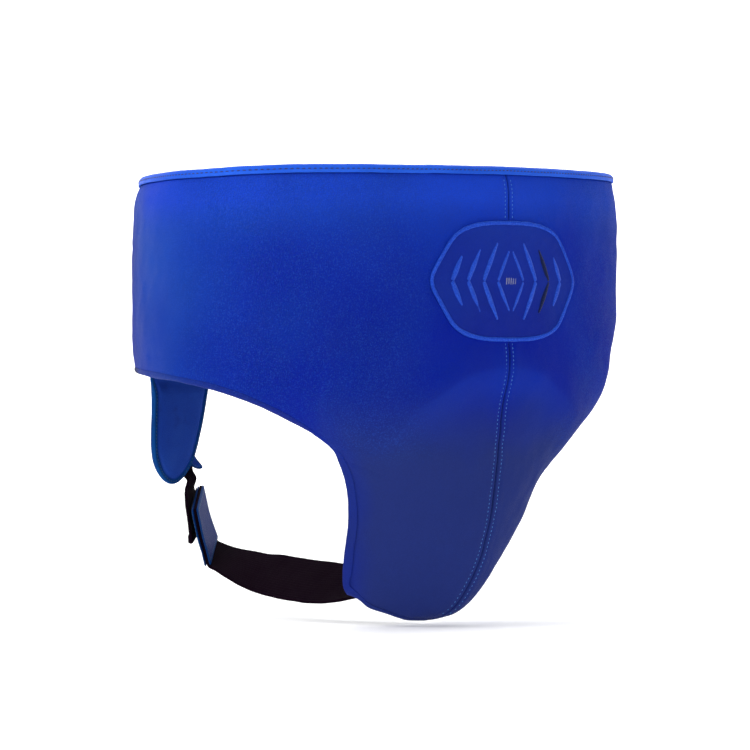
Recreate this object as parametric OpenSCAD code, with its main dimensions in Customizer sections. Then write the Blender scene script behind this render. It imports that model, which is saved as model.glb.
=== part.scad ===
// Boxing groin protector (no-foul protector): padded belly, hip wings, hard groin cup,
// rear hook-and-loop closure, and an adjustable elastic crotch strap.
// Frame: origin at the centre of the waist opening, level with the rim; +Z up, -Y is the
// wearer's front, +X the wearer's left. Millimetres.

/* [Waist] */
// Half-breadth factor of the hip outline (overall outer width is about 2.2 times this)
hip_r = 186; // [180:1:190]
// Half of the front-to-back outer depth
half_d = 156.5; // [152:0.5:160]
// How much narrower the back of the outline is than the front
egg = 0.50; // [0.46:0.01:0.52]
// Height of the padded hip wing at the side
wing_h = 135.5; // [130:0.5:140]
// Angle from the front at which each wing ends at the back
wing_end = 157; // [155:1:158]

/* [Padding] */
// Full thickness of the padded wall
pad_t = 25; // [23:0.5:27]
// Thickness of the wall at its bound edges
edge_t = 11; // [10:0.5:12]
// Leather cover thickness
cover_t = 1.4; // [1.0:0.1:1.6]
// Lining thickness
lining_t = 1.2; // [0.8:0.1:1.4]

/* [Groin cup] */
// Depth of the hard cup below the outer surface
cup_d = 12.5; // [12:0.5:14]
// Wall of the hard cup
cup_t = 3; // [2.5:0.5:3.5]

/* [Straps] */
// Width of the crotch elastic
strap_w = 44; // [38:1:48]
// Thickness of the crotch elastic
strap_t = 2.2; // [1.8:0.1:2.6]
// Width of each rear closure strap
close_w = 42; // [38:1:44]
// Thickness of the closure webbing
web_t = 1.6; // [1.4:0.1:1.8]

/* [Tail] */
// Half-width of the tail at its top
tail_hw = 31; // [28:1:33]
// Length of the tail below its hinge line
tail_l = 74; // [72:1:76]

/* [Hidden] */
blue = [0.05, 0.13, 0.62]; bright = [0.05, 0.22, 0.80]; navy = [0.03, 0.05, 0.22];
black = [0.03, 0.03, 0.035]; foamc = [0.85, 0.83, 0.76]; foamd = [0.45, 0.47, 0.50];

// smooth monotone interpolation in a table [[x, y], ...] with x rising
function lim(x, a, b) = max(a, min(b, x));
function seg(x, T, i = 0) = (i >= len(T) - 2 || x < T[i + 1][0]) ? i : seg(x, T, i + 1);
function slope(T, i) = (T[i + 1][1] - T[i][1]) / (T[i + 1][0] - T[i][0]);
function tang(T, i) = i == 0 ? slope(T, 0) : i == len(T) - 1 ? slope(T, i - 1) :
  let (a = slope(T, i - 1), b = slope(T, i), h0 = T[i][0] - T[i - 1][0], h1 = T[i + 1][0] - T[i][0],
       w1 = 2 * h1 + h0, w2 = h1 + 2 * h0) a * b <= 0 ? 0 : (w1 + w2) / (w1 / a + w2 / b);
function tab(x, T) = let (q = lim(x, T[0][0], T[len(T) - 1][0]), i = seg(q, T),
  h = T[i + 1][0] - T[i][0], t = (q - T[i][0]) / h)
  (1 + 2 * t) * (1 - t) * (1 - t) * T[i][1] + t * (1 - t) * (1 - t) * h * tang(T, i)
  + t * t * (3 - 2 * t) * T[i + 1][1] + t * t * (t - 1) * h * tang(T, i + 1);
function ss(x, a, b) = let (t = lim((x - a) / (b - a), 0, 1)) t * t * (3 - 2 * t);
function arc_in(d, r) = let (u = lim(d / r, 0, 1)) sqrt(max(0, 1 - (1 - u) * (1 - u)));

// outline tables by depth below the rim (h = -z)
thc = 36;      // outline angle that runs down to the front corner of the leg opening
hc = 190;      // depth of that corner
front_tab = [[0, 156.5], [60, 157], [100, 155.5], [134, 154], [165, 150.5], [200, 147], [234, 141.5],
  [261, 133.5], [282, 122.5], [296, 111], [304, 99], [308, 82]];
half_tab = [[0, 156], [100, 156], [134, 156], [150, 152], [165, 143], [190, 114.5], [210, 94.5], [236, 79.5],
  [263, 66], [284, 55], [296, 46], [308, 36]];
edge_tab = [[0, 121.5], [100, 117.5], [134, 115.5], [165, 108], [190, 99], [210, 92.5], [236, 83],
  [263, 67.5], [284, 57], [296, 53], [308, 50]];
inset_tab = [[0, 5.5], [8, 4.2], [20, 2], [40, 0.6], [65, 0], [110, 0], [134, 1.5], [190, 1.5]];
leg_tab = [[36, 190], [39, 182], [43, 174.5], [48, 166.5], [54, 158.5], [62, 149.5], [72, 142.8],
  [84, 139], [100, 137], [120, wing_h], [180, wing_h]];
rim_tab = [[0, 2], [40, 0.8], [70, -2.2], [120, -4.8], [180, -6]];
tip_tab = [[0, 308], [12, 307.2], [22, 304.5], [28, 300.5], [32, 296.5], [36, 284]];

function wx(a) = hip_r * sin(a) * (1 + egg * cos(a));
function wy(a) = -half_d * cos(a);
function tpar(a) = a > thc ? a / thc : 0.5 * a / thc + 0.5 * asin(min(1, wx(a) / wx(thc))) / 90;
function cupx(t, h) = tab(h, half_tab) * sin(90 * min(1, t));
function cupy(t, h) = let (e = tab(h, edge_tab), f = tab(h, front_tab) * half_d / 156.5)
  -e - (f - e) * cos(90 * min(1, t)) + max(0, t - 1) * 60;
function lean(a, h) = 3 * ss(a, 100, 140) * (1 - ss(h, 0, 32)); // the hips draw in more at the rim
function outer(a, z) = let (h = -z, t = tpar(a), w = ss(h, 90, 190) * (1 - ss(a, thc, 84)),
  x = wx(a) * (1 - w) + cupx(t, h) * w, y = wy(a) * (1 - w) + cupy(t, h) * w,
  i = tab(h, inset_tab) * (0.55 + 0.45 * ss(a, 0, 90)) + lean(a, h), r = sqrt(x * x + (y + 7.5) * (y + 7.5)))
  [x - x / r * i, y - (y + 7.5) / r * i];
function nin(a, z) = let (p = outer(a + 1, z), q = a < 1 ? [-outer(1 - a, z)[0], outer(1 - a, z)[1]] : outer(a - 1, z),
  t = p - q, l = norm(t)) [-t[1] / l, t[0] / l];
function rim(a) = tab(abs(a), rim_tab);
function leg(a) = -tab(abs(a), leg_tab);
function tip(a) = -tab(abs(a), tip_tab);
// distance to the free edge below, and the wall thickness
function edge_dist(a, z) = a >= thc ? z - leg(a) : z < -hc ? min((1 - a / thc) * 95, z - tip(a)) :
  sqrt(pow((1 - a / thc) * 95, 2) + pow(z + hc, 2));
function thick(a, z) = let (b = abs(a)) edge_t + (pad_t - edge_t) * arc_in(rim(b) - 5 - z, 26)
  * arc_in(max(0, edge_dist(b, z)), 24) * ss((wing_end - b) * 2.2, -2, 70);
// point at depth d under the outer surface
function P(a, z, d) = let (s = a < 0 ? -1 : 1, b = abs(a), o = outer(b, z), n = nin(b, z),
  l = 12 * ss(-z, 262, 308) * max(0, d) / pad_t) [s * (o[0] + n[0] * d), o[1] + n[1] * d, z + l];

// shared grid: columns run round the outline, rows run down. Rows 0..NU cover the wall above the
// leg corner; rows NU+1..NU+NL carry on down the groin part and exist for columns 0..9 only.
function steps(a, b, n) = [for (i = [0:n]) a + (b - a) * i / n];
cols = concat(steps(0, thc, 9), [39, 43, 48, 54, 61, 69, 78, 88, 99, 110, 120, 130, 139, 148, wing_end]);
upf = [0, 0.025, 0.07, 0.13, 0.22, 0.34, 0.47, 0.6, 0.72, 0.82, 0.91, 1];
lowf = [0, 0.16, 0.32, 0.48, 0.63, 0.76, 0.87, 0.95, 1];
NU = 11; NL = 8; NC = 24; CR = 8; // CR is the row where the groin part's own padding starts
function ftop(a) = rim(a) - 5;
function A(i) = i < 0 ? -cols[-i] : cols[i];
function Z(i, j) = let (a = A(i), m = abs(i) <= 9 ? -hc : leg(a))
  j <= NU ? ftop(a) + (m - ftop(a)) * upf[j] : m + (tip(a) - m) * lowf[j - NU];

// closed solid between two point sheets that share one list of quads; loop is their border
module closed(p0, p1, quads, loop) {
  N = len(p0); L = len(loop);
  polyhedron(points = concat(p0, p1), convexity = 10, faces = concat(
    [for (q = quads) each [[q[0], q[1], q[2]], [q[0], q[2], q[3]]]],
    [for (q = quads) each [[q[2] + N, q[1] + N, q[0] + N], [q[3] + N, q[2] + N, q[0] + N]]],
    [for (k = [0:L - 1]) let (p = loop[k], q = loop[(k + 1) % L]) each [[q, p, p + N], [q, p + N, q + N]]]));
}
// the first k columns of cells are split along the other diagonal, so that both halves mirror each other
function quads(n, m, k = 0) = [for (i = [0:n - 1]) for (j = [0:m - 1])
  let (a = i * (m + 1) + j, b = a + m + 1) i < k ? [b, b + 1, a + 1, a] : [a, b, b + 1, a + 1]];
function border(n, m) = concat([for (i = [0:n]) i * (m + 1)], [for (j = [1:m]) n * (m + 1) + j],
  [for (i = [n - 1:-1:0]) i * (m + 1) + m], [for (j = [m - 1:-1:1]) j]);
// rectangular patch of the grid, columns i0..i1 and rows j0..j1, from depth d0 to depth d1;
// gi and gj draw its side and row borders in, in degrees and millimetres, along the grid's own lines
module patch(i0, i1, j0, j1, d0, d1, gi = [0, 0], gj = [0, 0]) {
  function raw(i, j, d) = let (a = A(i), z = Z(i, j)) P(a, z, d(a, z));
  function pt(i, j, d) = let (di = i == i0 ? 1 : -1, dj = j == j0 ? 1 : -1,
    gx = i == i0 ? gi[0] : i == i1 ? gi[1] : 0, gy = j == j0 ? gj[0] : j == j1 ? gj[1] : 0,
    fx = gx > 0 ? gx / abs(A(i + di) - A(i)) : 0, fy = gy > 0 ? gy / abs(Z(i, j + dj) - Z(i, j)) : 0,
    p = raw(i, j, d), px = fx > 0 ? raw(i + di, j, d) : p, py = fy > 0 ? raw(i, j + dj, d) : p,
    pxy = fx > 0 && fy > 0 ? raw(i + di, j + dj, d) : fx > 0 ? px : py)
    p * (1 - fx) * (1 - fy) + px * fx * (1 - fy) + py * (1 - fx) * fy + pxy * fx * fy;
  closed([for (i = [i0:i1]) for (j = [j0:j1]) pt(i, j, d0)], [for (i = [i0:i1]) for (j = [j0:j1]) pt(i, j, d1)],
    quads(i1 - i0, j1 - j0, -i0), border(i1 - i0, j1 - j0));
}
// sweep of closed rings of points
module sweep(R) {
  n = len(R); m = len(R[0]);
  polyhedron(points = [for (r = R) each r], convexity = 10, faces = concat(
    [for (i = [0:n - 2]) for (j = [0:m - 1]) let (a = i * m + j, b = i * m + (j + 1) % m)
      each [[a, b, b + m], [a, b + m, a + m]]],
    [for (j = [1:m - 2]) [0, j + 1, j]],
    [for (j = [1:m - 2]) [(n - 1) * m, (n - 1) * m + j, (n - 1) * m + j + 1]]));
}
function flip(s, r) = s > 0 ? r : [for (k = [len(r) - 1:-1:0]) r[k]];

// ---- leather cover and its thread ----
module cover_half() {
  up = NU + 1;
  ij = concat([for (i = [0:NC]) for (j = [0:NU]) [i, j]], [for (i = [0:9]) for (j = [NU + 1:NU + NL]) [i, j]]);
  function id(i, j) = j <= NU ? i * up + j : (NC + 1) * up + i * NL + j - NU - 1;
  q = [for (c = ij) [A(c[0]) + (c[0] == 0 ? 0.03 : 0), Z(c[0], c[1])]];
  closed([for (c = q) P(c[0], c[1], 0)], [for (c = q) P(c[0], c[1], cover_t)],
    concat([for (i = [0:NC - 1]) for (j = [0:NU - 1]) [id(i, j), id(i + 1, j), id(i + 1, j + 1), id(i, j + 1)]],
      [for (i = [0:8]) for (j = [NU:NU + NL - 1]) [id(i, j), id(i + 1, j), id(i + 1, j + 1), id(i, j + 1)]]),
    concat([for (i = [0:NC]) id(i, 0)], [for (j = [1:NU]) id(NC, j)], [for (i = [NC - 1:-1:9]) id(i, NU)],
      [for (j = [NU + 1:NU + NL]) id(9, j)], [for (i = [8:-1:0]) id(i, NU + NL)], [for (j = [NU + NL - 1:-1:1]) id(0, j)]));
}
module outer_cover_left() color(blue) cover_half();
module outer_cover_right() color(blue) mirror([1, 0, 0]) cover_half();
// a double row, broken where the badge covers the seam
module seam_row(zs) sweep([for (z = zs) let (y = outer(0, z)[1]) [[1.3, y - 0.12, z], [2.1, y - 0.12, z], [1.7, y - 0.8, z]]]);
module seam_rows() { seam_row([Z(0, 1), Z(0, 2), Z(0, 3), -33]); seam_row(concat([-119], [for (j = [CR:NU + NL - 1]) Z(0, j)], [-306.3])); }
module front_seam_thread() color(bright) { seam_rows(); mirror([1, 0, 0]) seam_rows(); }
// stitched badge on the front: a flat-sided hexagon with rounded corners, and a motif of bars
em_z = -76; em_w = 74; em_h = 41;
function xa(x) = asin(x / 282) * 1.02; // outline angle for a small distance x from the middle
function em(x, z, d) = P(xa(x), em_z + z, d);
function hexr(k, s) = let (c = [[1, 0], [0.62, 1], [-0.62, 1], [-1, 0], [-0.62, -1], [0.62, -1]],
  i = floor(k / 8), f = (k % 8) / 8, a = c[i % 6], b = c[(i + 1) % 6], p = a + (b - a) * f, r = norm(p), e = 1.06 / max(1.06, r))
  [p[0] * e * (em_w + s), p[1] * e * (em_h + s)];
module emblem_border() { // closed ring of stations
  st = [for (k = [0:47]) let (o = hexr(k, 0), i = hexr(k, -3.4))
    [em(i[0], i[1], -0.35), em(o[0], o[1], -0.35), em((o[0] + i[0]) / 2, (o[1] + i[1]) / 2, -1.5)]];
  color(bright) polyhedron(points = [for (r = st) each r], convexity = 6, faces = [for (k = [0:47]) for (j = [0:2])
    let (a = 3 * k + j, b = 3 * k + (j + 1) % 3, c = (3 * k + 3) % 144 + (j + 1) % 3, d = (3 * k + 3) % 144 + j)
    each [[a, c, b], [a, d, c]]]);
}
module bar(p, q, w) { // raised bar on the badge from p to q
  n = 5; u = (q - p) / norm(q - p); v = [-u[1], u[0]] * w / 2;
  sweep([for (k = [0:n]) let (c = p + (q - p) * k / n)
    [em(c[0] - v[0], c[1] - v[1], -0.35), em(c[0] + v[0], c[1] + v[1], -0.35), em(c[0], c[1], -1.2)]]);
}
module emblem_motif() color(bright) for (s = [-1, 1]) {
  for (k = [0:2]) let (x = 20 + 13 * k, h = 21 - 3 * k) { bar([s * x, 1.2], [s * (x - h * 0.45), h], 3); bar([s * (x - h * 0.45), -h], [s * x, -1.2], 3); }
  bar([s * 3, 17], [s * 11, 1.2], 3); bar([s * 11, -1.2], [s * 3, -17], 3);
}

// ---- bindings ----
module top_binding() color(bright) sweep([for (i = [-NC - 1:NC + 1])
  let (a = abs(i) > NC ? (i > 0 ? 1 : -1) * (wing_end + 1.4) : A(i), z = ftop(a), T = edge_t)
  [for (q = [[-0.7, 0.3], [T + 0.7, 0.3], [T + 0.7, 2.8], [T - 1.5, 4.5], [T / 2, 5], [1.5, 4.5], [-0.7, 2.8]])
    let (p = P(a, z, q[0])) [p[0], p[1], z + q[1]]]]);
// leg opening: angle, level, and the way out of the wall in (degrees, mm) per mm
leg_path = concat([[wing_end + 1.4, leg(wing_end), 0, -1]], [for (i = [NC:-1:11]) [A(i), leg(A(i)), 0, -1]],
  [[39, leg(39), 0.2, -0.93], [36, -hc, 0.45, -0.6], [36, Z(9, 12), 0.6, -0.05]],
  [for (j = [13:17]) [36, Z(9, j), 0.6, 0]], [[36, Z(9, 18), 0.55, -0.4], [36, Z(9, 19), 0.35, -0.8], [32, tip(32), 0.1, -0.97]],
  [for (i = [7:-1:1]) [A(i), tip(A(i)), 0, -1]], [[0.04, tip(0), 0, -1]]);
module leg_binding() sweep([for (q = leg_path)
  [for (c = [[0.35, -0.5], [1.8, -0.5], [3.4, 2], [3.8, 5.5], [3.4, 9], [1.8, edge_t + 0.5], [0.35, edge_t + 0.5]])
    P(q[0] + q[2] * c[0], q[1] + q[3] * c[0], c[1])]]);
module leg_binding_left() color(blue) leg_binding();
module leg_binding_right() color(blue) mirror([1, 0, 0]) leg_binding();
module wing_end_binding() closed(
  [for (a = [wing_end + 0.12, wing_end + 1.4]) for (j = [0:NU]) P(a, Z(NC, j), -0.5)],
  [for (a = [wing_end + 0.12, wing_end + 1.4]) for (j = [0:NU]) P(a, Z(NC, j), edge_t + 0.5)], quads(1, NU), border(1, NU));
module wing_end_binding_left() color(blue) wing_end_binding();
module wing_end_binding_right() color(blue) mirror([1, 0, 0]) wing_end_binding();

// ---- padding, cup and linings ----
g = 0.15;
gp = 0.55; // gap in degrees between blocks side by side
f_out = function(a, z) cover_t + g;
f_mid = function(a, z) 0.55 * thick(a, z);
f_mid2 = function(a, z) 0.55 * thick(a, z) + g;
f_in = function(a, z) thick(a, z) - lining_t - g;
function cin(a, z) = min(cup_d, thick(a, z) - 6);
function cth(a, z) = min(cup_t, 0.14 * thick(a, z));
module belly_foam_outer() color(foamd) patch(-9, 9, 0, CR, f_out, f_mid, [gp, gp], [0.2, 0.2]);
module belly_foam_inner() color(foamc) patch(-9, 9, 0, CR, f_mid2, f_in, [gp, gp], [0.2, 0.2]);
module hip_foam_outer() patch(9, NC, 0, NU, f_out, f_mid, [gp / 2, 0.1], [0.2, 0.2]);
module hip_foam_inner() patch(9, NC, 0, NU, f_mid2, f_in, [gp / 2, 0.1], [0.2, 0.2]);
module hip_foam_outer_left() color(foamd) hip_foam_outer();
module hip_foam_outer_right() color(foamd) mirror([1, 0, 0]) hip_foam_outer();
module hip_foam_inner_left() color(foamc) hip_foam_inner();
module hip_foam_inner_right() color(foamc) mirror([1, 0, 0]) hip_foam_inner();
module groin_foam() color(foamd) patch(-9, 9, CR, NU + NL, f_out, function(a, z) cin(a, z) - g, [gp, gp], [0.2, 0.2]);
module hard_cup() color([0.9, 0.9, 0.88]) patch(-8, 8, CR + 1, NU + NL - 1, function(a, z) cin(a, z),
  function(a, z) cin(a, z) + cth(a, z));
gsk0 = function(a, z) cin(a, z);
gsk1 = function(a, z) cin(a, z) + cth(a, z) + 0.4 * g;
module cup_rim_gasket() color(black) {
  for (s = [-1, 1]) patch(s > 0 ? 8 : -9, s > 0 ? 9 : -8, CR + 1, NU + NL - 1, gsk0, gsk1, s > 0 ? [0.1, 0.4] : [0.4, 0.1]);
  patch(-9, 9, CR, CR + 1, gsk0, gsk1, [0.4, 0.4], [0.6, 0.2]);
  patch(-8, 8, NU + NL - 1, NU + NL, gsk0, gsk1, [0, 0], [0.2, 0.6]);
}
module cup_liner_pad() color(foamc) patch(-9, 9, CR, NU + NL, function(a, z) cin(a, z) + cth(a, z) + g, f_in,
  [gp, gp], [0.2, 0.2]);
l_out = function(a, z) thick(a, z) - lining_t;
l_in = function(a, z) thick(a, z);
module waist_lining() color(navy) patch(-NC, NC, 0, NU, l_out, l_in);
module groin_lining() color(navy) patch(-9, 9, NU, NU + NL, l_out, l_in, [0, 0], [0.2, 0]);

// ---- back flap under the rear opening, sewn to the right wing ----
// u runs round the back: 0 is the back centre, negative towards the right wing
function pout(u, z, d) = let (b = 180 - abs(u), o = outer(b, z), k = abs(u) < 1 ? [0, -1] : nin(b, z), s = u < 0 ? -1 : 1)
  [s * (o[0] + k[0] * d), o[1] + k[1] * d, z];
function pb(u, z, d) = let (q = pout(u, -70, d)) [q[0], q[1], z];
flap_t = 6.5; flap_z = [-13, -70, -143];
flap_u = [-36, -33, -30, -27, -24, -21, -17, -12.5, -8, -4, 0, 4, 8, 12.5, 17, 21, 24, 26];
function need(u) = let (b = 180 - abs(u))
  max([for (z = [-13, -18, -26, -40, -70, -100, -134]) tab(-z, inset_tab) + lean(b, -z) + (b > wing_end - 1 ? edge_t + 0.5 : thick(b, z))]) + 0.7;
function flap_d(u) = 9.5 + (need(u) - 9.5) * ss(abs(u), 12, 21.4);
module plate(U, zs, d0, d1) closed([for (u = U) for (z = zs) pb(u, z, d0(u))], [for (u = U) for (z = zs) pb(u, z, d1(u))],
  quads(len(U) - 1, len(zs) - 1), border(len(U) - 1, len(zs) - 1));
module back_flap_cover() color(blue) {
  plate(flap_u, flap_z, function(u) flap_d(u), function(u) flap_d(u) + 1.2);
  plate(flap_u, flap_z, function(u) flap_d(u) + flap_t - 1.2, function(u) flap_d(u) + flap_t);
}
module back_flap_foam() color(foamc) plate(flap_u, flap_z, function(u) flap_d(u) + 1.3, function(u) flap_d(u) + flap_t - 1.3);

// ---- rear closure: two straps rooted on the right wing, gripping the panel on the left wing ----
up0 = -20; lo0 = -78;
wd = function(u) -1.5 - 2.1 * ss(u, -20, 20); // depth of the webbing's inner face: it rides higher over the hook and loop
wo = function(u) wd(u) - web_t;
flat = function(d) function(u) d;
rw = [-28.2, -26.3, -24.2];
lw = [23, 27.5, 32, 36.5, 41, 45.5, 50, 55, 60];
su = concat([-22.6, -19, -15, -11, -7.5, -4, 0, 4, 7.5, 11, 15, 19], [23, 27.5, 32, 36.5, 41, 45.5, 50, 53]);
module web(U, z0, w, da, db, n = 3) closed([for (u = U) for (k = [0:n]) pout(u, z0 - w * k / n, da(u))],
  [for (u = U) for (k = [0:n]) pout(u, z0 - w * k / n, db(u))], quads(len(U) - 1, n), border(len(U) - 1, n));
module closure_anchor_patch() color(blue) web(concat([-29.5], rw), -16, close_w * 2 + 24, flat(-1.35), flat(-0.45), 6);
module loop_panel() color(black) web(concat(lw, [64]), -17, close_w * 2 + 22, flat(-1.7), flat(-0.55), 6);
module upper_strap_root() color(black) web(rw, up0, close_w, wo, wd);
module lower_strap_root() color(black) web(rw, lo0, close_w, wo, wd);
module upper_strap_webbing() color(black) web(su, up0, close_w, wo, wd);
module lower_strap_webbing() color(black) web(su, lo0, close_w, wo, wd);
hk = [27.5, 32, 36.5, 41, 45.5, 50, 52];
module upper_strap_hook() color([0.1, 0.1, 0.11]) web(hk, up0 - 2, close_w - 4, flat(-3.4), flat(-1.9));
module lower_strap_hook() color([0.1, 0.1, 0.11]) web(hk, lo0 - 2, close_w - 4, flat(-3.4), flat(-1.9));
module upper_strap_tab() color(blue) web([53.3, 55, 57.5, 61], up0 - 1, close_w - 2, flat(-4 - web_t), flat(-3.2));
module lower_strap_tab() color(blue) web([53.3, 55, 57.5, 61], lo0 - 1, close_w - 2, flat(-4 - web_t), flat(-3.2));

// ---- tail: hangs from the bottom of the back flap ----
tail_z = -144.3; tail_y = 143.2;
tail_w = [[0, 1], [12, 0.90], [25, 0.85], [40, 0.78], [52, 0.69], [60, 0.56], [66, 0.40], [70, 0.22], [72, 0.06]];
tv = [for (v = [0.8, 4, 9, 15, 22, 30, 38, 46, 53, 59, 64, 68, 70.5]) v * tail_l / 72];
function tw(v) = tail_hw * tab(v * 72 / tail_l, tail_w);
function tail_mid(v) = tail_y - 2 * ss(v, 0, tail_l);
function tail_x(v) = -10.7 * ss(v, 0, tail_l); // it hangs a little to the wearer's right
function tth(v) = 1 + 2.2 * ss(v, 0.8, 10) * (1 - 0.35 * ss(v, 55, 72));
module tail_slab(ya, yb, in, v0, v1) // ya, yb as a share of the half-thickness; in = inset from the outline
  sweep([for (v = tv) if (v >= v0 && v <= v1) let (w = max(0.8, tw(v) - in), x = tail_x(v), y = tail_mid(v), t = tth(v), z = tail_z - v)
    [[x - w, y + ya * t, z], [x - w * 0.4, y + ya * t * 1.15, z], [x + w * 0.4, y + ya * t * 1.15, z], [x + w, y + ya * t, z],
     [x + w, y + yb * t, z], [x + w * 0.4, y + yb * t * 1.15, z], [x - w * 0.4, y + yb * t * 1.15, z], [x - w, y + yb * t, z]]]);
module tail_cover() color(blue) { tail_slab(-1, -0.62, 1.6, 0, tail_l); tail_slab(0.62, 1, 1.6, 0, tail_l); }
module tail_core() color(foamc) tail_slab(-0.58, 0.58, 2.2, 4, tail_l - 3);
module tail_edge(s) sweep([for (v = tv) let (w = max(0.8, tw(v) - 1.6) + 0.15, x = tail_x(v), y = tail_mid(v), z = tail_z - v, t = tth(v))
  flip(s, [[x + s * w, y - t, z], [x + s * (w + 1.5), y - t * 0.6, z], [x + s * (w + 1.5), y + t * 0.6, z], [x + s * w, y + t, z]])]);
module tail_binding() color(bright) { tail_edge(1); tail_edge(-1); }
// leather pull tongue, sewn behind the tail and under the elastic's root: x, y, z of the middle and half the width
module tail_keeper_tab() color(blue) sweep([for (q = [[7, 146.35, -189.4, 6], [10.4, 146.3, -195.4, 6], [14.7, 146.1, -200.9, 6], [18.7, 145, -204.9, 5.5], [21.7, 143.8, -207.9, 3.3]])
  [[q[0] - q[3], q[1] - 0.7, q[2]], [q[0] + q[3], q[1] - 0.7, q[2]], [q[0] + q[3], q[1] + 0.7, q[2]], [q[0] - q[3], q[1] + 0.7, q[2]]]]);

// ---- straps between the legs: stations are x, y, z of the middle, then yaw, rise and, on the tail's, length of the width ----
tail_root_st = [[8, 148.3, -190, 0, 0, 18], [9, 148.3, -196, 0, 0, 18], [10, 148.3, -201.5, 3, 0, 18]];
tail_st = [[10.5, 148.3, -203.6, 5, 0, 17], [12.3, 148, -210, 10, 0, 16], [11.8, 142.3, -215, 26, 2, 20], [6.7, 140, -222, 31.5, 5, 30],
  [4.9, 136.6, -230, 31, 8, 38], [4.8, 134.7, -238, 31.5, 12, 40], [5.1, 133.6, -247, 32, 15, 40], [5.3, 133.2, -255, 32, 16, 40]];
crotch_st = [[5.7, 131.7, -227.3, 36, 21], [6.1, 129.6, -237, 36, 21], [6.8, 127.3, -247, 36, 21.5], [8, 124.2, -257, 35.5, 22],
  [9.1, 121.4, -266.5, 34.5, 23.5], [9.7, 114.5, -269.8, 35, 23.5], [10.5, 101, -274.4, 28.5, 26], [10.5, 84, -278.1, 19, 31],
  [9, 65.4, -280.6, 9, 34.5], [6.9, 46.2, -282.6, 1, 36], [4.3, 26.8, -284.1, -4, 36.5], [1.9, 10.1, -285.1, -6.5, 36], [1, -4, -285.6, -9, 34.5],
  [0.5, -20, -286.2, -4, 27], [0, -36, -286.7, -2, 17], [0, -50, -287.4, -1, 8], [0, -62, -288.2, 0, 2]];
function unit(v) = v / norm(v);
function cent(s) = [s[0], s[1], s[2]];
function dirn(T, i) = unit(cent(T[min(len(T) - 1, i + 1)]) - cent(T[max(0, i - 1)]));
function wid(T, i) = let (s = T[i]) [cos(s[4]) * cos(s[3]), cos(s[4]) * sin(s[3]), sin(s[4])];
function nrm(T, i) = unit(cross(dirn(T, i), wid(T, i)));
module band(T, i0, i1, w, n0, n1, e = 0) // from station i0 to i1, width w or the stations' own, between offsets n0 and n1
  sweep([for (i = [i0:i1]) let (c = cent(T[i]), a = wid(T, i) * ((w > 0 ? w : T[i][5]) - e * (i == i0 || i == i1 ? 1 : 0)) / 2, k = nrm(T, i))
    [c - a + k * n0, c + a + k * n0, c + a + k * n1, c - a + k * n1]]);
module tail_strap_root() color(black) band(tail_root_st, 0, 2, 0, -strap_t / 2, strap_t / 2);
module tail_strap() color(black) band(tail_st, 0, 7, 0, -strap_t / 2, strap_t / 2, 1);
module crotch_strap() color(black) band(crotch_st, 0, 16, strap_w, -strap_t / 2, strap_t / 2, 1);
pf = strap_t / 2 + 0.15;
module crotch_patch_front() color(blue) band(crotch_st, 0, 4, strap_w + 3, pf, pf + 1.3);
module crotch_patch_rear() color(blue) band(crotch_st, 0, 4, strap_w + 3, -pf - 1.1, -pf);
module crotch_strap_hook() color([0.1, 0.1, 0.11]) band(crotch_st, 0, 3, strap_w - 4, -pf - 1.9, -pf - 1.2, 2);
module crotch_root_tab() color(blue) sweep([for (q = [[-64, -288.4, 23], [-69, -288.8, 22], [-73, -290, 18.5], [-76, -292.2, 14]])
  [[-q[2], q[0], q[1] - 2.2], [q[2], q[0], q[1] - 2.2], [q[2], q[0], q[1] + 2.2], [-q[2], q[0], q[1] + 2.2]]]);

outer_cover_right();
outer_cover_left();
front_seam_thread();
emblem_border();
emblem_motif();
top_binding();
leg_binding_right();
leg_binding_left();
wing_end_binding_right();
wing_end_binding_left();
belly_foam_outer();
belly_foam_inner();
hip_foam_outer_right();
hip_foam_outer_left();
hip_foam_inner_right();
hip_foam_inner_left();
groin_foam();
hard_cup();
cup_rim_gasket();
cup_liner_pad();
waist_lining();
groin_lining();
back_flap_cover();
back_flap_foam();
closure_anchor_patch();
loop_panel();
upper_strap_root();
lower_strap_root();
upper_strap_webbing();
upper_strap_hook();
upper_strap_tab();
lower_strap_webbing();
lower_strap_hook();
lower_strap_tab();
tail_cover();
tail_core();
tail_binding();
tail_keeper_tab();
tail_strap_root();
tail_strap();
crotch_strap();
crotch_patch_front();
crotch_patch_rear();
crotch_strap_hook();
crotch_root_tab();
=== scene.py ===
# Boxing groin protector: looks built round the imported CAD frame. Shape functions work in millimetres.
import math

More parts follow.
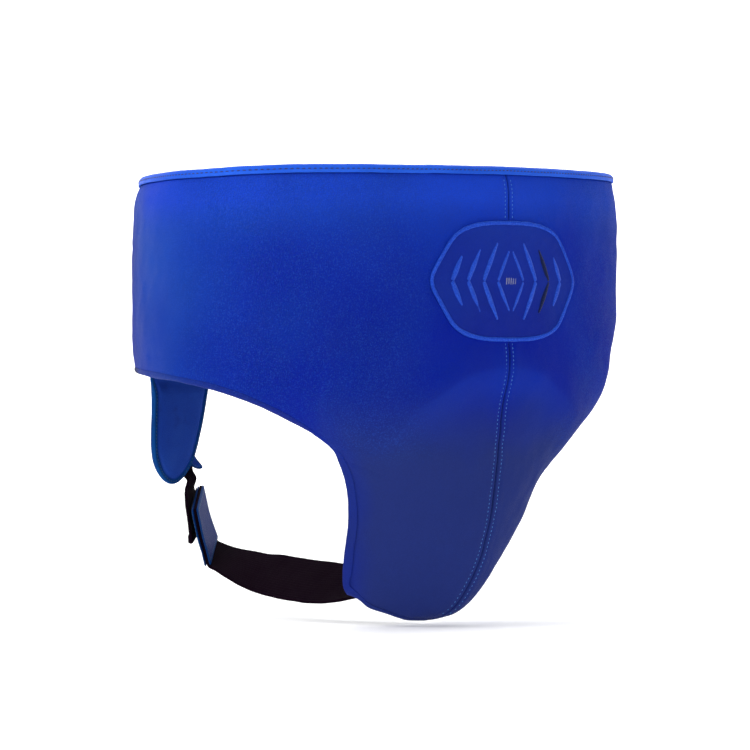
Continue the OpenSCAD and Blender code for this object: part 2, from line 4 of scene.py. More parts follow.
import bmesh
import bpy
import numpy as np
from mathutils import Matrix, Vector


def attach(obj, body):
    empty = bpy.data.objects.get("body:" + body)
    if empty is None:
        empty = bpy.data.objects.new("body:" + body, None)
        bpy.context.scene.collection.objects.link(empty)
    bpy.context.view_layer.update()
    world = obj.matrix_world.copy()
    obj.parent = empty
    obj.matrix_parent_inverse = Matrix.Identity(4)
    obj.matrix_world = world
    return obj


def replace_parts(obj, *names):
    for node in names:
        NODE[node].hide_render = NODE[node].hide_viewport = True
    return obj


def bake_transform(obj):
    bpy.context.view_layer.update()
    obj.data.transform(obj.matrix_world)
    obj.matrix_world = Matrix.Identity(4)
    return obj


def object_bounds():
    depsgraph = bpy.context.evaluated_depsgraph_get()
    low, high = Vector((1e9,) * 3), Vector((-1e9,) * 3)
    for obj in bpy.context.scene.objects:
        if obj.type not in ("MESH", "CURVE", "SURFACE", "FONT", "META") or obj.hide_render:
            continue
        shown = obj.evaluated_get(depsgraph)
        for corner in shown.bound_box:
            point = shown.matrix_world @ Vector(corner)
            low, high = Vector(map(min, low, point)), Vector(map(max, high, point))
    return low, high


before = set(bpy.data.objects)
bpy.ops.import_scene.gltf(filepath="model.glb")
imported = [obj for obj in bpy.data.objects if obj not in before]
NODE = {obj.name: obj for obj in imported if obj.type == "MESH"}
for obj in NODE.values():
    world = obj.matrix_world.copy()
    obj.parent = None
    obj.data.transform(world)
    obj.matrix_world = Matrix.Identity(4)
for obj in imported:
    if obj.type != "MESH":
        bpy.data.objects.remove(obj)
CAD_BOX = [list(v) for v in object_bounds()]

# ------------------------------------------------------------------ camera (the picture's own view)
AZ = math.radians(-50.0)
BACK = Vector((math.sin(AZ), -math.cos(AZ), 0.0))
RIGHT = Vector((math.cos(AZ), math.sin(AZ), 0.0))
cam = bpy.data.objects.new("camera", bpy.data.cameras.new("camera"))
bpy.context.scene.collection.objects.link(cam)
cam.location = Vector((0.0, -0.0375, -0.109)) + BACK * 4.0
cam.rotation_mode = "QUATERNION"
cam.rotation_quaternion = (-BACK).to_track_quat("-Z", "Y")
cam.data.lens = 278.3
cam.data.sensor_width = 36.0
cam.data.shift_y = -0.06
cam.data.clip_start, cam.data.clip_end = 0.05, 60.0
bpy.context.scene.camera = cam

# ------------------------------------------------------------------ shape functions, as in the CAD source
HIP, HALF, EGG, WE = 186.0, 156.5, 0.50, 157.0
PAD, EDGE, COV, LIN = 25.0, 11.0, 1.4, 1.2
CUPD, CUPT, THC, HC = 12.5, 3.0, 36.0, 190.0
FT = [[0, 156.5], [60, 157], [100, 155.5], [134, 154], [165, 150.5], [200, 147], [234, 141.5], [261, 133.5],
      [282, 122.5], [296, 111], [304, 99], [308, 82]]
HT = [[0, 156], [100, 156], [134, 156], [150, 152], [165, 143], [190, 114.5], [210, 94.5], [236, 79.5], [263, 66],
      [284, 55], [296, 46], [308, 36]]
ET = [[0, 121.5], [100, 117.5], [134, 115.5], [165, 108], [190, 99], [210, 92.5], [236, 83], [263, 67.5],
      [284, 57], [296, 53], [308, 50]]
IT = [[0, 5.5], [8, 4.2], [20, 2], [40, 0.6], [65, 0], [110, 0], [134, 1.5], [190, 1.5]]
LT = [[36, 190], [39, 182], [43, 174.5], [48, 166.5], [54, 158.5], [62, 149.5], [72, 142.8], [84, 139],
      [100, 137], [120, 135.5], [180, 135.5]]
RT = [[0, 2], [40, 0.8], [70, -2.2], [120, -4.8], [180, -6]]
TT = [[0, 308], [12, 307.2], [22, 304.5], [28, 300.5], [32, 296.5], [36, 284]]


def tab(x, T):
    T = np.asarray(T, float)
    X, Y = T[:, 0], T[:, 1]
    h = np.diff(X)
    d = np.diff(Y) / h
    m = np.empty(len(X))
    m[0], m[-1] = d[0], d[-1]
    for j in range(1, len(X) - 1):
        if d[j - 1] * d[j] <= 0:
            m[j] = 0
        else:
            w1, w2 = 2 * h[j] + h[j - 1], h[j] + 2 * h[j - 1]
            m[j] = (w1 + w2) / (w1 / d[j - 1] + w2 / d[j])
    q = np.clip(x, X[0], X[-1])
    i = np.clip(np.searchsorted(X, q, side="right") - 1, 0, len(h) - 1)
    t = (q - X[i]) / h[i]
    return ((1 + 2 * t) * (1 - t) ** 2 * Y[i] + t * (1 - t) ** 2 * h[i] * m[i]
            + t * t * (3 - 2 * t) * Y[i + 1] + t * t * (t - 1) * h[i] * m[i + 1])


def ss(x, a, b):
    t = np.clip((np.asarray(x, float) - a) / (b - a), 0, 1)
    return t * t * (3 - 2 * t)


def arc(d, r):
    u = np.clip(np.asarray(d, float) / r, 0, 1)
    return np.sqrt(np.maximum(0, 1 - (1 - u) ** 2))


def gauss(x, c, w):
    return np.exp(-(((np.asarray(x, float) - c) / w) ** 2))


def wx(a):
    a = np.radians(a)
    return HIP * np.sin(a) * (1 + EGG * np.cos(a))


def wy(a):
    return -HALF * np.cos(np.radians(a))


def tpar(a):
    a = np.asarray(a, float)
    return np.where(a > THC, a / THC,
                    0.5 * a / THC + 0.5 * np.degrees(np.arcsin(np.clip(wx(a) / wx(THC), -1, 1))) / 90)


def cupx(t, h):
    return tab(h, HT) * np.sin(np.pi / 2 * np.minimum(1, t))


def cupy(t, h):
    e, f = tab(h, ET), tab(h, FT) * HALF / 156.5
    return -e - (f - e) * np.cos(np.pi / 2 * np.minimum(1, t)) + np.maximum(0, t - 1) * 60


def lean(a, h):
    return 3 * ss(a, 100, 140) * (1 - ss(h, 0, 32))


def outer(a, z):
    h = -np.asarray(z, float)
    t = tpar(a)
    w = ss(h, 90, 190) * (1 - ss(a, THC, 84))
    x = wx(a) * (1 - w) + cupx(t, h) * w
    y = wy(a) * (1 - w) + cupy(t, h) * w
    i = tab(h, IT) * (0.55 + 0.45 * ss(a, 0, 90)) + lean(a, h)
    r = np.hypot(x, y + 7.5)
    return x - x / r * i, y - (y + 7.5) / r * i


def nin(a, z):
    p = outer(a + 1, z)
    a2 = np.asarray(a, float)
    q = outer(np.abs(a2 - 1), z)
    qx = np.where(a2 < 1, -q[0], q[0])
    tx, ty = p[0] - qx, p[1] - q[1]
    ln = np.hypot(tx, ty)
    return -ty / ln, tx / ln


def rim(a):
    return tab(np.abs(a), RT)


def leg(a):
    return -tab(np.abs(a), LT)


def tip(a):
    return -tab(np.abs(a), TT)


def edge_dist(a, z):
    a, z = np.asarray(a, float), np.asarray(z, float)
    return np.where(a >= THC, z - leg(a),
                    np.where(z < -HC, np.minimum((1 - a / THC) * 95, z - tip(a)),
                             np.sqrt(((1 - a / THC) * 95) ** 2 + (z + HC) ** 2)))


def thick(a, z):
    b = np.abs(a)
    return EDGE + (PAD - EDGE) * arc(rim(b) - 5 - z, 26) * arc(np.maximum(0, edge_dist(b, z)), 24) * ss((WE - b) * 2.2, -2, 70)


def P(a, z, d):
    """Point at depth d under the outer surface, at outline angle a and height z."""
    a, z = np.asarray(a, float), np.asarray(z, float)
    s = np.where(a < 0, -1.0, 1.0)
    b = np.abs(a)
    o, n = outer(b, z), nin(b, z)
    up = 12 * ss(-z, 262, 308) * np.maximum(0, d) / PAD
    return np.stack(np.broadcast_arrays(s * (o[0] + n[0] * d), o[1] + n[1] * d, z + up), -1)


def pout(u, z, d):
    """The same at the back, by angle u from the back centre (negative is the wearer's right)."""
    u = np.asarray(u, float)
    b = 180 - np.abs(u)
    o, n = outer(b, z), nin(b, z)
    kx = np.where(np.abs(u) < 1, 0.0, n[0])
    ky = np.where(np.abs(u) < 1, -1.0, n[1])
    s = np.where(u < 0, -1.0, 1.0)
    return np.stack(np.broadcast_arrays(s * (o[0] + kx * d), o[1] + ky * d, z), -1)


# ------------------------------------------------------------------ small numeric helpers
def wob(x, y, wave, seed, n=28):
    """Smooth seeded noise, about -1 to 1, made of waves near one wavelength."""
    r = np.random.default_rng(seed)
    out = 0.0
    for _ in range(n):
        th, ph, k = r.uniform(0, 2 * np.pi), r.uniform(0, 2 * np.pi), 2 * np.pi / (wave * r.uniform(0.6, 1.7))
        out = out + np.sin(k * (x * np.cos(th) + y * np.sin(th)) + ph)
    return out / math.sqrt(n) * 0.9


def spline(K, n=None, t=None):
    """Catmull-Rom through the rows of K, at n even parameters or at t."""
    K = np.asarray(K, float)
    t = np.linspace(0, len(K) - 1, n) if t is None else np.asarray(t, float)
    i = np.clip(t.astype(int), 0, len(K) - 2)
    f = (t - i)[:, None]
    pad = np.vstack([2 * K[0] - K[1], K, 2 * K[-1] - K[-2]])
    p0, p1, p2, p3 = pad[i], pad[i + 1], pad[i + 2], pad[i + 3]
    return 0.5 * (2 * p1 + (p2 - p0) * f + (2 * p0 - 5 * p1 + 4 * p2 - p3) * f ** 2
                  + (3 * p1 - p0 - 3 * p2 + p3) * f ** 3)


def resample(p, step):
    p = np.asarray(p, float)
    s = np.concatenate([[0], np.cumsum(np.linalg.norm(np.diff(p, axis=0), axis=1))])
    n = max(2, int(round(s[-1] / step)) + 1)
    q = np.linspace(0, s[-1], n)
    return np.stack([np.interp(q, s, p[:, k]) for k in range(p.shape[1])], -1), q


def unit(v):
    return v / np.maximum(np.linalg.norm(v, axis=-1, keepdims=True), 1e-12)


# ------------------------------------------------------------------ mesh building
def grid_faces(n, m, off=0, wrap_n=False, wrap_m=False):
    i = np.arange(n if wrap_n else n - 1)[:, None]
    j = np.arange(m if wrap_m else m - 1)[None, :]
    i1, j1 = (i + 1) % n, (j + 1) % m
    return np.stack(np.broadcast_arrays(i * m + j, i1 * m + j, i1 * m + j1, i * m + j1), -1).reshape(-1, 4) + off


def border(n, m):
    return np.concatenate([np.arange(n) * m, (n - 1) * m + np.arange(1, m), np.arange(n - 2, -1, -1) * m + m - 1,
                           np.arange(m - 2, 0, -1)])


def wall(loop0, loop1):
    a, b = np.asarray(loop0), np.asarray(loop1)
    return np.stack([a, np.roll(a, -1), np.roll(b, -1), b], -1)


def build(name, pts, faces, mat, sharp=40.0, attrs=None, slot=None):
    """A closed mesh piece from points in millimetres and lists of faces."""
    pts = np.asarray(pts, float).reshape(-1, 3) * 1e-3
    faces = [np.asarray(f) for f in faces if len(f)]
    me = bpy.data.meshes.new(name)
    me.vertices.add(len(pts))
    me.vertices.foreach_set("co", pts.astype(np.float32).ravel())
    corners = np.concatenate([f.ravel() for f in faces]).astype(np.int32)
    sizes = np.concatenate([np.full(len(f), f.shape[1]) for f in faces]).astype(np.int32)
    me.loops.add(len(corners))
    me.loops.foreach_set("vertex_index", corners)
    me.polygons.add(len(sizes))
    me.polygons.foreach_set("loop_start", np.concatenate([[0], np.cumsum(sizes)[:-1]]).astype(np.int32))
    me.polygons.foreach_set("use_smooth", np.ones(len(sizes), bool))
    me.update(calc_edges=True)
    me.validate()
    for k, v in (attrs or {}).items():
        me.attributes.new(k, "FLOAT", "POINT").data.foreach_set("value", np.asarray(v, np.float32).ravel())
    bm = bmesh.new()
    bm.from_mesh(me)
    bmesh.ops.recalc_face_normals(bm, faces=bm.faces)
    bm.to_mesh(me)
    bm.free()
    if sharp:
        me.set_sharp_from_angle(angle=math.radians(sharp))
    me.materials.append(mat)
    ob = bpy.data.objects.new(name, me)
    bpy.context.scene.collection.objects.link(ob)
    return ob


def two_sided(G0, G1):
    """Points and faces of the closed solid between two grids of the same shape."""
    n, m = G0.shape[:2]
    N = n * m
    b = border(n, m)
    return (np.concatenate([G0.reshape(-1, 3), G1.reshape(-1, 3)]),
            [grid_faces(n, m), grid_faces(n, m, N)[:, ::-1], wall(b, b + N)])


def tube(R, caps=True):
    """Points and faces of a sweep of closed rings, R[n, m, 3], with fan caps."""
    n, m = R.shape[:2]
    pts = R.reshape(-1, 3)
    faces = [grid_faces(n, m, wrap_m=True)]
    if caps:
        pts = np.concatenate([pts, R[0].mean(0)[None], R[-1].mean(0)[None]])
        k = np.arange(m)
        k1 = (k + 1) % m
        faces += [np.stack([np.full(m, n * m), k1, k], -1),
                  np.stack([np.full(m, n * m + 1), (n - 1) * m + k, (n - 1) * m + k1], -1)]
    return pts, faces


def stack(parts):
    """Joins several (points, faces) lists into one."""
    P_, F_, off = [], [], 0
    for pts, faces in parts:
        P_.append(pts)
        F_ += [f + off for f in faces]
        off += len(pts)
    return np.concatenate(P_), F_


def by_size(faces):
    """Faces grouped by their number of corners, so that building stays quick."""
    out = {}
    for f in faces:
        out.setdefault(f.shape[1], []).append(f)
    return [np.concatenate(v) for v in out.values()]


def stitches(name, centres, along, up, mat, length=1.6, radius=0.26, slot="seam_thread", sink=0.0):
    """Small rounded thread runs, one for each centre."""
    centres, along, up = np.asarray(centres, float), unit(np.asarray(along, float)), unit(np.asarray(up, float))
    side = unit(np.cross(along, up))
    up = np.cross(side, along)
    t = np.array([-1.0, -0.86, -0.5, 0.0, 0.5, 0.86, 1.0])
    r = np.array([0.18, 0.6, 0.93, 1.0, 0.93, 0.6, 0.18])
    lift = np.array([-0.9, -0.35, 0.0, 0.12, 0.0, -0.35, -0.9])
    th = np.arange(7) / 7 * 2 * np.pi
    pts, faces = [], []
    n, m = len(t), len(th)
    f0 = grid_faces(n, m, wrap_m=True)
    k = np.arange(m)
    cap = [np.stack([np.full(m, n * m), (k + 1) % m, k], -1), np.stack([np.full(m, n * m + 1), (n - 1) * m + k, (n - 1) * m + (k + 1) % m], -1)]
    C = centres[:, None, None, :] + along[:, None, None, :] * (t * length / 2)[None, :, None, None] \
        + up[:, None, None, :] * ((lift - sink) * radius)[None, :, None, None] \
        + side[:, None, None, :] * (np.cos(th)[None, :] * r[:, None] * radius)[None, :, :, None] \
        + up[:, None, None, :] * (np.sin(th)[None, :] * r[:, None] * radius)[None, :, :, None]
    ends = np.stack([C[:, 0].mean(1) - along * radius * 0.1, C[:, -1].mean(1) + along * radius * 0.1], 1)
    pts = np.concatenate([C.reshape(len(centres), -1, 3), ends], 1)
    V = pts.shape[1]
    off = np.arange(len(centres)) * V
    F4 = (f0[None] + off[:, None, None]).reshape(-1, 4)
    F3 = np.concatenate([(c[None] + off[:, None, None]).reshape(-1, 3) for c in cap])
    return build(name, pts.reshape(-1, 3), [F4, F3], mat, sharp=None, slot=slot)


# ------------------------------------------------------------------ materials (all procedural)
class Mat:
    """A Principled material and a few helpers for its node tree."""

    def __init__(self, name, **values):
        self.m = bpy.data.materials.new(name)
        self.m.use_nodes = True
        self.t = self.m.node_tree
        self.t.nodes.clear()
        self.out = self.t.nodes.new("ShaderNodeOutputMaterial")
        self.b = self.t.nodes.new("ShaderNodeBsdfPrincipled")
        self.t.links.new(self.b.outputs[0], self.out.inputs[0])
        for k, v in values.items():
            self.b.inputs[k.replace("_", " ")].default_value = v
        self.pos = self.node("ShaderNodeTexCoord").outputs["Object"]

    def node(self, kind, links=None, **props):
        n = self.t.nodes.new(kind)
        for k, v in props.items():
            if hasattr(n, k):
                setattr(n, k, v)
            else:
                n.inputs[k.replace("_", " ")].default_value = v
        for k, v in (links or {}).items():
            self.t.links.new(v, n.inputs[k])
        return n

    def attr(self, name):
        return self.node("ShaderNodeAttribute", attribute_name=name).outputs["Fac"]

    def mapped(self, scale, vec=None, rot=(0, 0, 0)):
        n = self.node("ShaderNodeMapping", {"Vector": vec or self.pos})
        n.inputs["Scale"].default_value = scale
        n.inputs["Rotation"].default_value = rot
        return n.outputs[0]

    def noise(self, scale, detail=3.0, rough=0.55, vec=None, distort=0.0):
        return self.node("ShaderNodeTexNoise", {"Vector": vec or self.pos}, Scale=scale, Detail=detail,
                         Roughness=rough, Distortion=distort).outputs["Fac"]

    def cells(self, scale, feature="DISTANCE_TO_EDGE", vec=None, random=1.0):
        n = self.node("ShaderNodeTexVoronoi", {"Vector": vec or self.pos}, feature=feature, Scale=scale)
        n.inputs["Randomness"].default_value = random
        return n.outputs["Distance"]

    def math(self, op, a, b=None, c=None, clamp=False):
        n = self.node("ShaderNodeMath", operation=op, use_clamp=clamp)
        for i, v in enumerate((a, b, c)):
            if v is None:
                continue
            if isinstance(v, (int, float)):
                n.inputs[i].default_value = v
            else:
                self.t.links.new(v, n.inputs[i])
        return n.outputs[0]

    def ramp(self, fac, stops):
        n = self.node("ShaderNodeValToRGB", {"Fac": fac})
        e = n.color_ramp.elements
        while len(e) < len(stops):
            e.new(0.5)
        for s, (p, c) in zip(e, stops):
            s.position = p
            s.color = (*c, 1.0) if len(c) == 3 else c
        return n.outputs["Color"]

    def span(self, fac, lo, hi, to_lo=0.0, to_hi=1.0, smooth=True):
        n = self.node("ShaderNodeMapRange", {"Value": fac}, interpolation_type="SMOOTHSTEP" if smooth else "LINEAR")
        n.inputs["From Min"].default_value, n.inputs["From Max"].default_value = lo, hi
        n.inputs["To Min"].default_value, n.inputs["To Max"].default_value = to_lo, to_hi
        return n.outputs["Result"]

    def mix(self, fac, a, b, kind="MIX"):
        n = self.node("ShaderNodeMix", data_type="RGBA", blend_type=kind)
        for i, v in ((0, fac), (6, a), (7, b)):
            if isinstance(v, (int, float)):
                n.inputs[i].default_value = v
            elif isinstance(v, tuple):
                n.inputs[i].default_value = (*v, 1.0)
            else:
                self.t.links.new(v, n.inputs[i])
        return n.outputs[2]

    def bump(self, height, strength, distance, normal=None):
        links = {"Height": height}
        if normal is not None:
            links["Normal"] = normal
        return self.node("ShaderNodeBump", links, Strength=strength, Distance=distance).outputs[0]

    def set(self, **links):
        for k, v in links.items():
            self.t.links.new(v, self.b.inputs[k.replace("_", " ")])
        return self.m


def leather(name, base, light, deep, rough=0.45, grain=1.0, creases=False, spec=0.010, sheen=0.0, trim=None):
    """Dyed full-grain leather: pebble, pores, fine creases, uneven dye, and painted shade in the grain's hollows; with
    creases, also the painted sheen, highlights, glints and shade that the piece's attributes give.
    """
    k = Mat(name, IOR=1.5)
    k.b.inputs["Specular IOR Level"].default_value = spec
    if sheen:
        k.b.inputs["Sheen Weight"].default_value = sheen
        k.b.inputs["Sheen Roughness"].default_value = 0.5
        k.b.inputs["Sheen Tint"].default_value = (0.35, 0.5, 1.0, 1.0)
    warp = k.node("ShaderNodeVectorMath", operation="MULTIPLY_ADD")
    nz = k.node("ShaderNodeTexNoise", {"Vector": k.pos}, Scale=420.0, Detail=2.0)
    k.t.links.new(nz.outputs["Color"], warp.inputs[0])
    warp.inputs[1].default_value = (0.0016, 0.0016, 0.0016)
    k.t.links.new(k.pos, warp.inputs[2])
    wp = warp.outputs[0]
    pebble = k.span(k.cells(820.0, vec=wp), 0.0, 0.22)
    fine = k.span(k.cells(1700.0, vec=wp), 0.0, 0.3)
    pores = k.noise(2600.0, 2.0)
    broad = k.noise(9.0, 4.0, 0.6)
    mid = k.noise(60.0, 4.0, 0.6)
    height = k.math("ADD", k.math("MULTIPLY", pebble, 0.55), k.math("MULTIPLY", fine, 0.3))
    height = k.math("ADD", height, k.math("MULTIPLY", pores, 0.22))
    n1 = k.bump(height, 0.60 * grain, 0.00040)
    n2 = k.bump(mid, 0.25, 0.0006, n1)
    if creases:
        c = k.attr("crease")
        hang = k.node("ShaderNodeSeparateXYZ", {"Vector": wp}).outputs["Z"]
        run = k.attr("round")
        lean = 0.42
        across = k.math("SUBTRACT", k.math("MULTIPLY", run, math.cos(lean) * 820), k.math("MULTIPLY", hang, math.sin(lean) * 820))
        down = k.math("ADD", k.math("MULTIPLY", run, math.sin(lean) * 260), k.math("MULTIPLY", hang, math.cos(lean) * 260))
        slant = k.node("ShaderNodeCombineXYZ", {"X": across, "Y": down}).outputs[0]
        streak = k.noise(1.0, 5.0, 0.66, vec=slant, distort=0.5)
        lines = k.math("ABSOLUTE", k.math("SUBTRACT", streak, 0.5))
        lines = k.span(lines, 0.0, 0.06, 0.0, 1.0)
        patch = k.span(k.noise(24.0, 4.0, 0.65), 0.30, 0.66, 0.25, 0.80)
        deepline = k.math("MULTIPLY", k.math("SUBTRACT", 1.0, lines), k.math("MULTIPLY", patch, c))
        n2 = k.bump(k.math("SUBTRACT", 1.0, deepline), 0.60, 0.00034, n2)
        painted_glint = k.math("MULTIPLY", k.span(k.noise(900.0, 2.0, 0.75, vec=wp), 0.50, 0.64), c)
        dye_and_painted_sheen, navy = k.attr("dye_and_painted_sheen"), k.attr("navy")
        # Painted sheen toward the lighter blue, from the attribute read above, with broad noise as random dye
        # variation.
        col = k.mix(k.math("ADD", dye_and_painted_sheen, k.math("MULTIPLY", k.math("SUBTRACT", broad, 0.5), 0.25), clamp=True), base, light)
        # Painted highlight in bright blue.
        col = k.mix(k.attr("bright"), col, (0.010, 0.055, 0.58))
        # Darker toward navy: on the cover mostly painted shade.
        col = k.mix(navy, col, deep)
        # Painted highlight along the crease lines.
        col = k.mix(k.math("MULTIPLY", deepline, 0.40), col, light)
        # Painted glints in the creased areas.
        col = k.mix(k.math("MULTIPLY", painted_glint, 0.24), col, (0.030, 0.115, 0.62))
        # Painted shade along the seams and under the piping.
        col = k.mix(k.math("MULTIPLY", k.attr("seam"), 0.92), col, (0.0015, 0.0035, 0.030))
    else:
        col = k.mix(k.span(broad, 0.3, 0.7), base, light)
        col = k.mix(k.span(mid, 0.55, 0.8, 0.0, 0.5), col, deep)
    # Painted shade in the grain's hollows, deeper in creased areas.
    pit = k.math("MULTIPLY", k.attr("crease"), 0.10) if creases else 0.0
    col = k.mix(k.math("MULTIPLY", k.math("SUBTRACT", 1.0, pebble), k.math("ADD", pit, 0.22 * grain)), col, deep)
    if trim:
        col = k.mix(k.attr("trim"), col, trim)
    ro = k.math("ADD", k.math("MULTIPLY", k.math("SUBTRACT", mid, 0.5), 0.16), rough)
    ro = k.math("ADD", ro, k.math("MULTIPLY", k.math("SUBTRACT", 1.0, pebble), 0.10), clamp=True)
    return k.set(Base_Color=col, Roughness=ro, Normal=n2)


def thread(name, base, light, rough=0.5):
    """Twisted sewing thread."""
    k = Mat(name, IOR=1.5)
    w = k.node("ShaderNodeTexWave", {"Vector": k.mapped((1, 1, 1), rot=(0.5, 0.6, 0.9))}, Scale=900.0, Distortion=2.0)
    fuzz = k.noise(3800.0, 2.0)
    # Lighter on the twist's ridges, darker between them: painted shade.
    col = k.mix(k.math("MULTIPLY", w.outputs["Fac"], 0.8), base, light)
    return k.set(Base_Color=col, Roughness=k.span(fuzz, 0.2, 0.8, rough - 0.08, rough + 0.12),
                 Normal=k.bump(k.math("ADD", w.outputs["Fac"], fuzz), 0.4, 0.0001))


def satin(name, base, light, dark):
    """Satin-stitched embroidery: the threads lie side by side, from the piece's own along coordinate."""
    k = Mat(name, IOR=1.5)
    k.b.inputs["Specular IOR Level"].default_value = 0.12
    along = k.attr("along")
    saw = k.math("FRACT", k.math("MULTIPLY", along, 2300.0))
    ridge = k.math("SINE", k.math("MULTIPLY", saw, math.pi))
    vary = k.noise(1500.0, 2.0)
    # Darker between the threads: painted shade.
    col = k.mix(ridge, dark, base)
    col = k.mix(k.span(vary, 0.45, 0.75, 0.0, 0.7), col, light)
    return k.set(Base_Color=col, Roughness=k.span(vary, 0.2, 0.8, 0.30, 0.5), Normal=k.bump(ridge, 0.7, 0.00012))


def webbing(name, base, light, ribs=1100.0, cords=420.0, rough=0.8, strength=0.6):
    """Woven elastic or tape, with fine picks across and cords along, from along and across coordinates."""
    k = Mat(name, IOR=1.45)
    k.b.inputs["Specular IOR Level"].default_value = 0.012
    k.b.inputs["Sheen Weight"].default_value = 0.0
    k.b.inputs["Sheen Roughness"].default_value = 0.6
    k.b.inputs["Sheen Tint"].default_value = (0.45, 0.30, 0.45, 1.0)
    u, v = k.attr("along"), k.attr("across")
    pick = k.math("SINE", k.math("MULTIPLY", u, ribs * 2 * math.pi))
    cordw = k.math("SINE", k.math("MULTIPLY", v, cords * 2 * math.pi))
    weave = k.math("ADD", k.math("MULTIPLY", pick, cordw), k.math("MULTIPLY", cordw, 0.6))
    fuzz = k.noise(2400.0, 3.0)
    h = k.math("ADD", weave, k.math("MULTIPLY", fuzz, 0.8))
    broad = k.noise(40.0, 3.0)
    # Lighter on the raised weave, darker in its hollows: painted shade.
    col = k.mix(k.span(h, 0.0, 1.9), base, light)
    col = k.mix(k.span(broad, 0.45, 0.75, 0.0, 0.5), col, base)
    return k.set(Base_Color=col, Roughness=k.span(fuzz, 0.3, 0.7, rough - 0.1, rough + 0.08), Normal=k.bump(h, strength, 0.00018))


def cloth(name, base, light, scale=1400.0, rough=0.75, fuzzy=0.0):
    """Plain woven lining, or with fuzzy above 0 the brushed pile of loop cloth."""
    k = Mat(name, IOR=1.45)
    k.b.inputs["Specular IOR Level"].default_value = 0.3
    k.b.inputs["Sheen Weight"].default_value = 0.25 + 0.4 * fuzzy
    k.b.inputs["Sheen Roughness"].default_value = 0.5
    wa = k.node("ShaderNodeTexWave", {"Vector": k.pos}, Scale=scale / 6.3, bands_direction="Z", Distortion=0.6)
    wb = k.node("ShaderNodeTexWave", {"Vector": k.pos}, Scale=scale / 6.3, bands_direction="X", Distortion=0.6)
    fuzz = k.noise(1900.0 if fuzzy else 3200.0, 5.0, 0.7)
    h = k.math("ADD", k.math("MULTIPLY", k.math("ADD", wa.outputs["Fac"], wb.outputs["Fac"]), 1.0 - fuzzy), k.math("MULTIPLY", fuzz, 1.0 + 2 * fuzzy))
    # Lighter on the raised weave, darker in its hollows: painted shade.
    col = k.mix(k.span(h, 0.6, 2.2), base, light)
    col = k.mix(k.span(k.noise(30.0, 4.0), 0.4, 0.8, 0.0, 0.4), col, base)
    return k.set(Base_Color=col, Roughness=k.span(fuzz, 0.3, 0.7, rough - 0.08, rough + 0.1),
                 Normal=k.bump(h, 0.5 + 0.4 * fuzzy, 0.0002 + 0.0006 * fuzzy))


def foam(name, base, dark):
    k = Mat(name, Roughness=0.9)
    c = k.cells(700.0, "F1")
    # Darker in the cells' pits: painted shade.
    return k.set(Base_Color=k.mix(k.span(c, 0.1, 0.7), dark, base), Normal=k.bump(c, 0.5, 0.0004))


def plastic(name, base, rough=0.4):
    k = Mat(name)
    n = k.noise(300.0, 4.0)
    return k.set(Base_Color=k.mix(k.span(n, 0.3, 0.7), base, tuple(x * 0.9 for x in base)),
                 Roughness=k.span(n, 0.3, 0.7, rough - 0.08, rough + 0.1), Normal=k.bump(n, 0.15, 0.0003))


# Cover leather blues: the second is the lighter blue of the painted sheen and highlights, the third the colour of the
# painted shade.
ROYAL, HIP_SHEEN_BLUE, NAVY = (0.0014, 0.0105, 0.300), (0.0085, 0.060, 0.385), (0.018, 0.031, 0.168)
# The cover's trim colour is a painted reflection of light from below on the leg edge's lip.
M_COVER = leather("cover_leather", ROYAL, HIP_SHEEN_BLUE, NAVY, rough=0.47, creases=True, trim=(0.024, 0.029, 0.070))
M_EDGE = leather("edge_leather", (0.006, 0.020, 0.27), (0.012, 0.045, 0.36), (0.008, 0.02, 0.16), rough=0.48, grain=0.7)
M_RIM = leather("rim_leather", (0.016, 0.092, 0.62), (0.026, 0.130, 0.76), (0.008, 0.05, 0.40), rough=0.38, grain=0.45, spec=0.02)
M_TAIL = leather("tail_leather", (0.014, 0.054, 0.36), (0.023, 0.088, 0.46), (0.012, 0.022, 0.14), rough=0.5, grain=0.7, trim=(0.003, 0.040, 0.19))
M_TRIM = leather("trim_leather", (0.004, 0.045, 0.20), (0.008, 0.08, 0.28), (0.004, 0.02, 0.12), rough=0.5, grain=0.5)
M_PATCH = leather("patch_leather", (0.013, 0.026, 0.150), (0.024, 0.044, 0.20), (0.008, 0.016, 0.10), rough=0.5, grain=0.6, spec=0.03, trim=(0.003, 0.040, 0.19))
M_TAB = leather("tab_leather", (0.006, 0.040, 0.34), (0.010, 0.07, 0.45), (0.006, 0.02, 0.18), rough=0.45, grain=0.6)
M_THREAD = thread("seam_thread", (0.02, 0.14, 0.46), (0.07, 0.30, 0.72))
# Rim thread: a dark navy, darkened further as painted shade in the stitch holes along the piping.
M_RIMTHREAD = thread("rim_thread", (0.001, 0.006, 0.10), (0.002, 0.014, 0.19))
M_TEAL = thread("teal_thread", (0.004, 0.09, 0.20), (0.012, 0.17, 0.32))
M_TEALDARK = thread("dark_teal_thread", (0.003, 0.03, 0.11), (0.006, 0.06, 0.18))
M_BLACKTHREAD = thread("black_thread", (0.008, 0.008, 0.010), (0.03, 0.03, 0.035))
M_SATIN = satin("satin_thread", (0.012, 0.075, 0.62), (0.05, 0.19, 0.86), (0.004, 0.022, 0.30))
M_SATINDARK = satin("dark_satin_thread", (0.002, 0.008, 0.060), (0.004, 0.016, 0.10), (0.001, 0.003, 0.025))
M_SILVER = satin("pale_satin_thread", (0.30, 0.32, 0.40), (0.48, 0.50, 0.55), (0.10, 0.11, 0.18))
M_ELASTIC = webbing("elastic", (0.0050, 0.0014, 0.0048), (0.011, 0.0042, 0.0105))
M_TAPE = webbing("strap_tape", (0.006, 0.005, 0.007), (0.020, 0.018, 0.022), ribs=700.0, cords=500.0, rough=0.7)
M_LINING = cloth("lining_cloth", (0.006, 0.010, 0.06), (0.015, 0.025, 0.12))
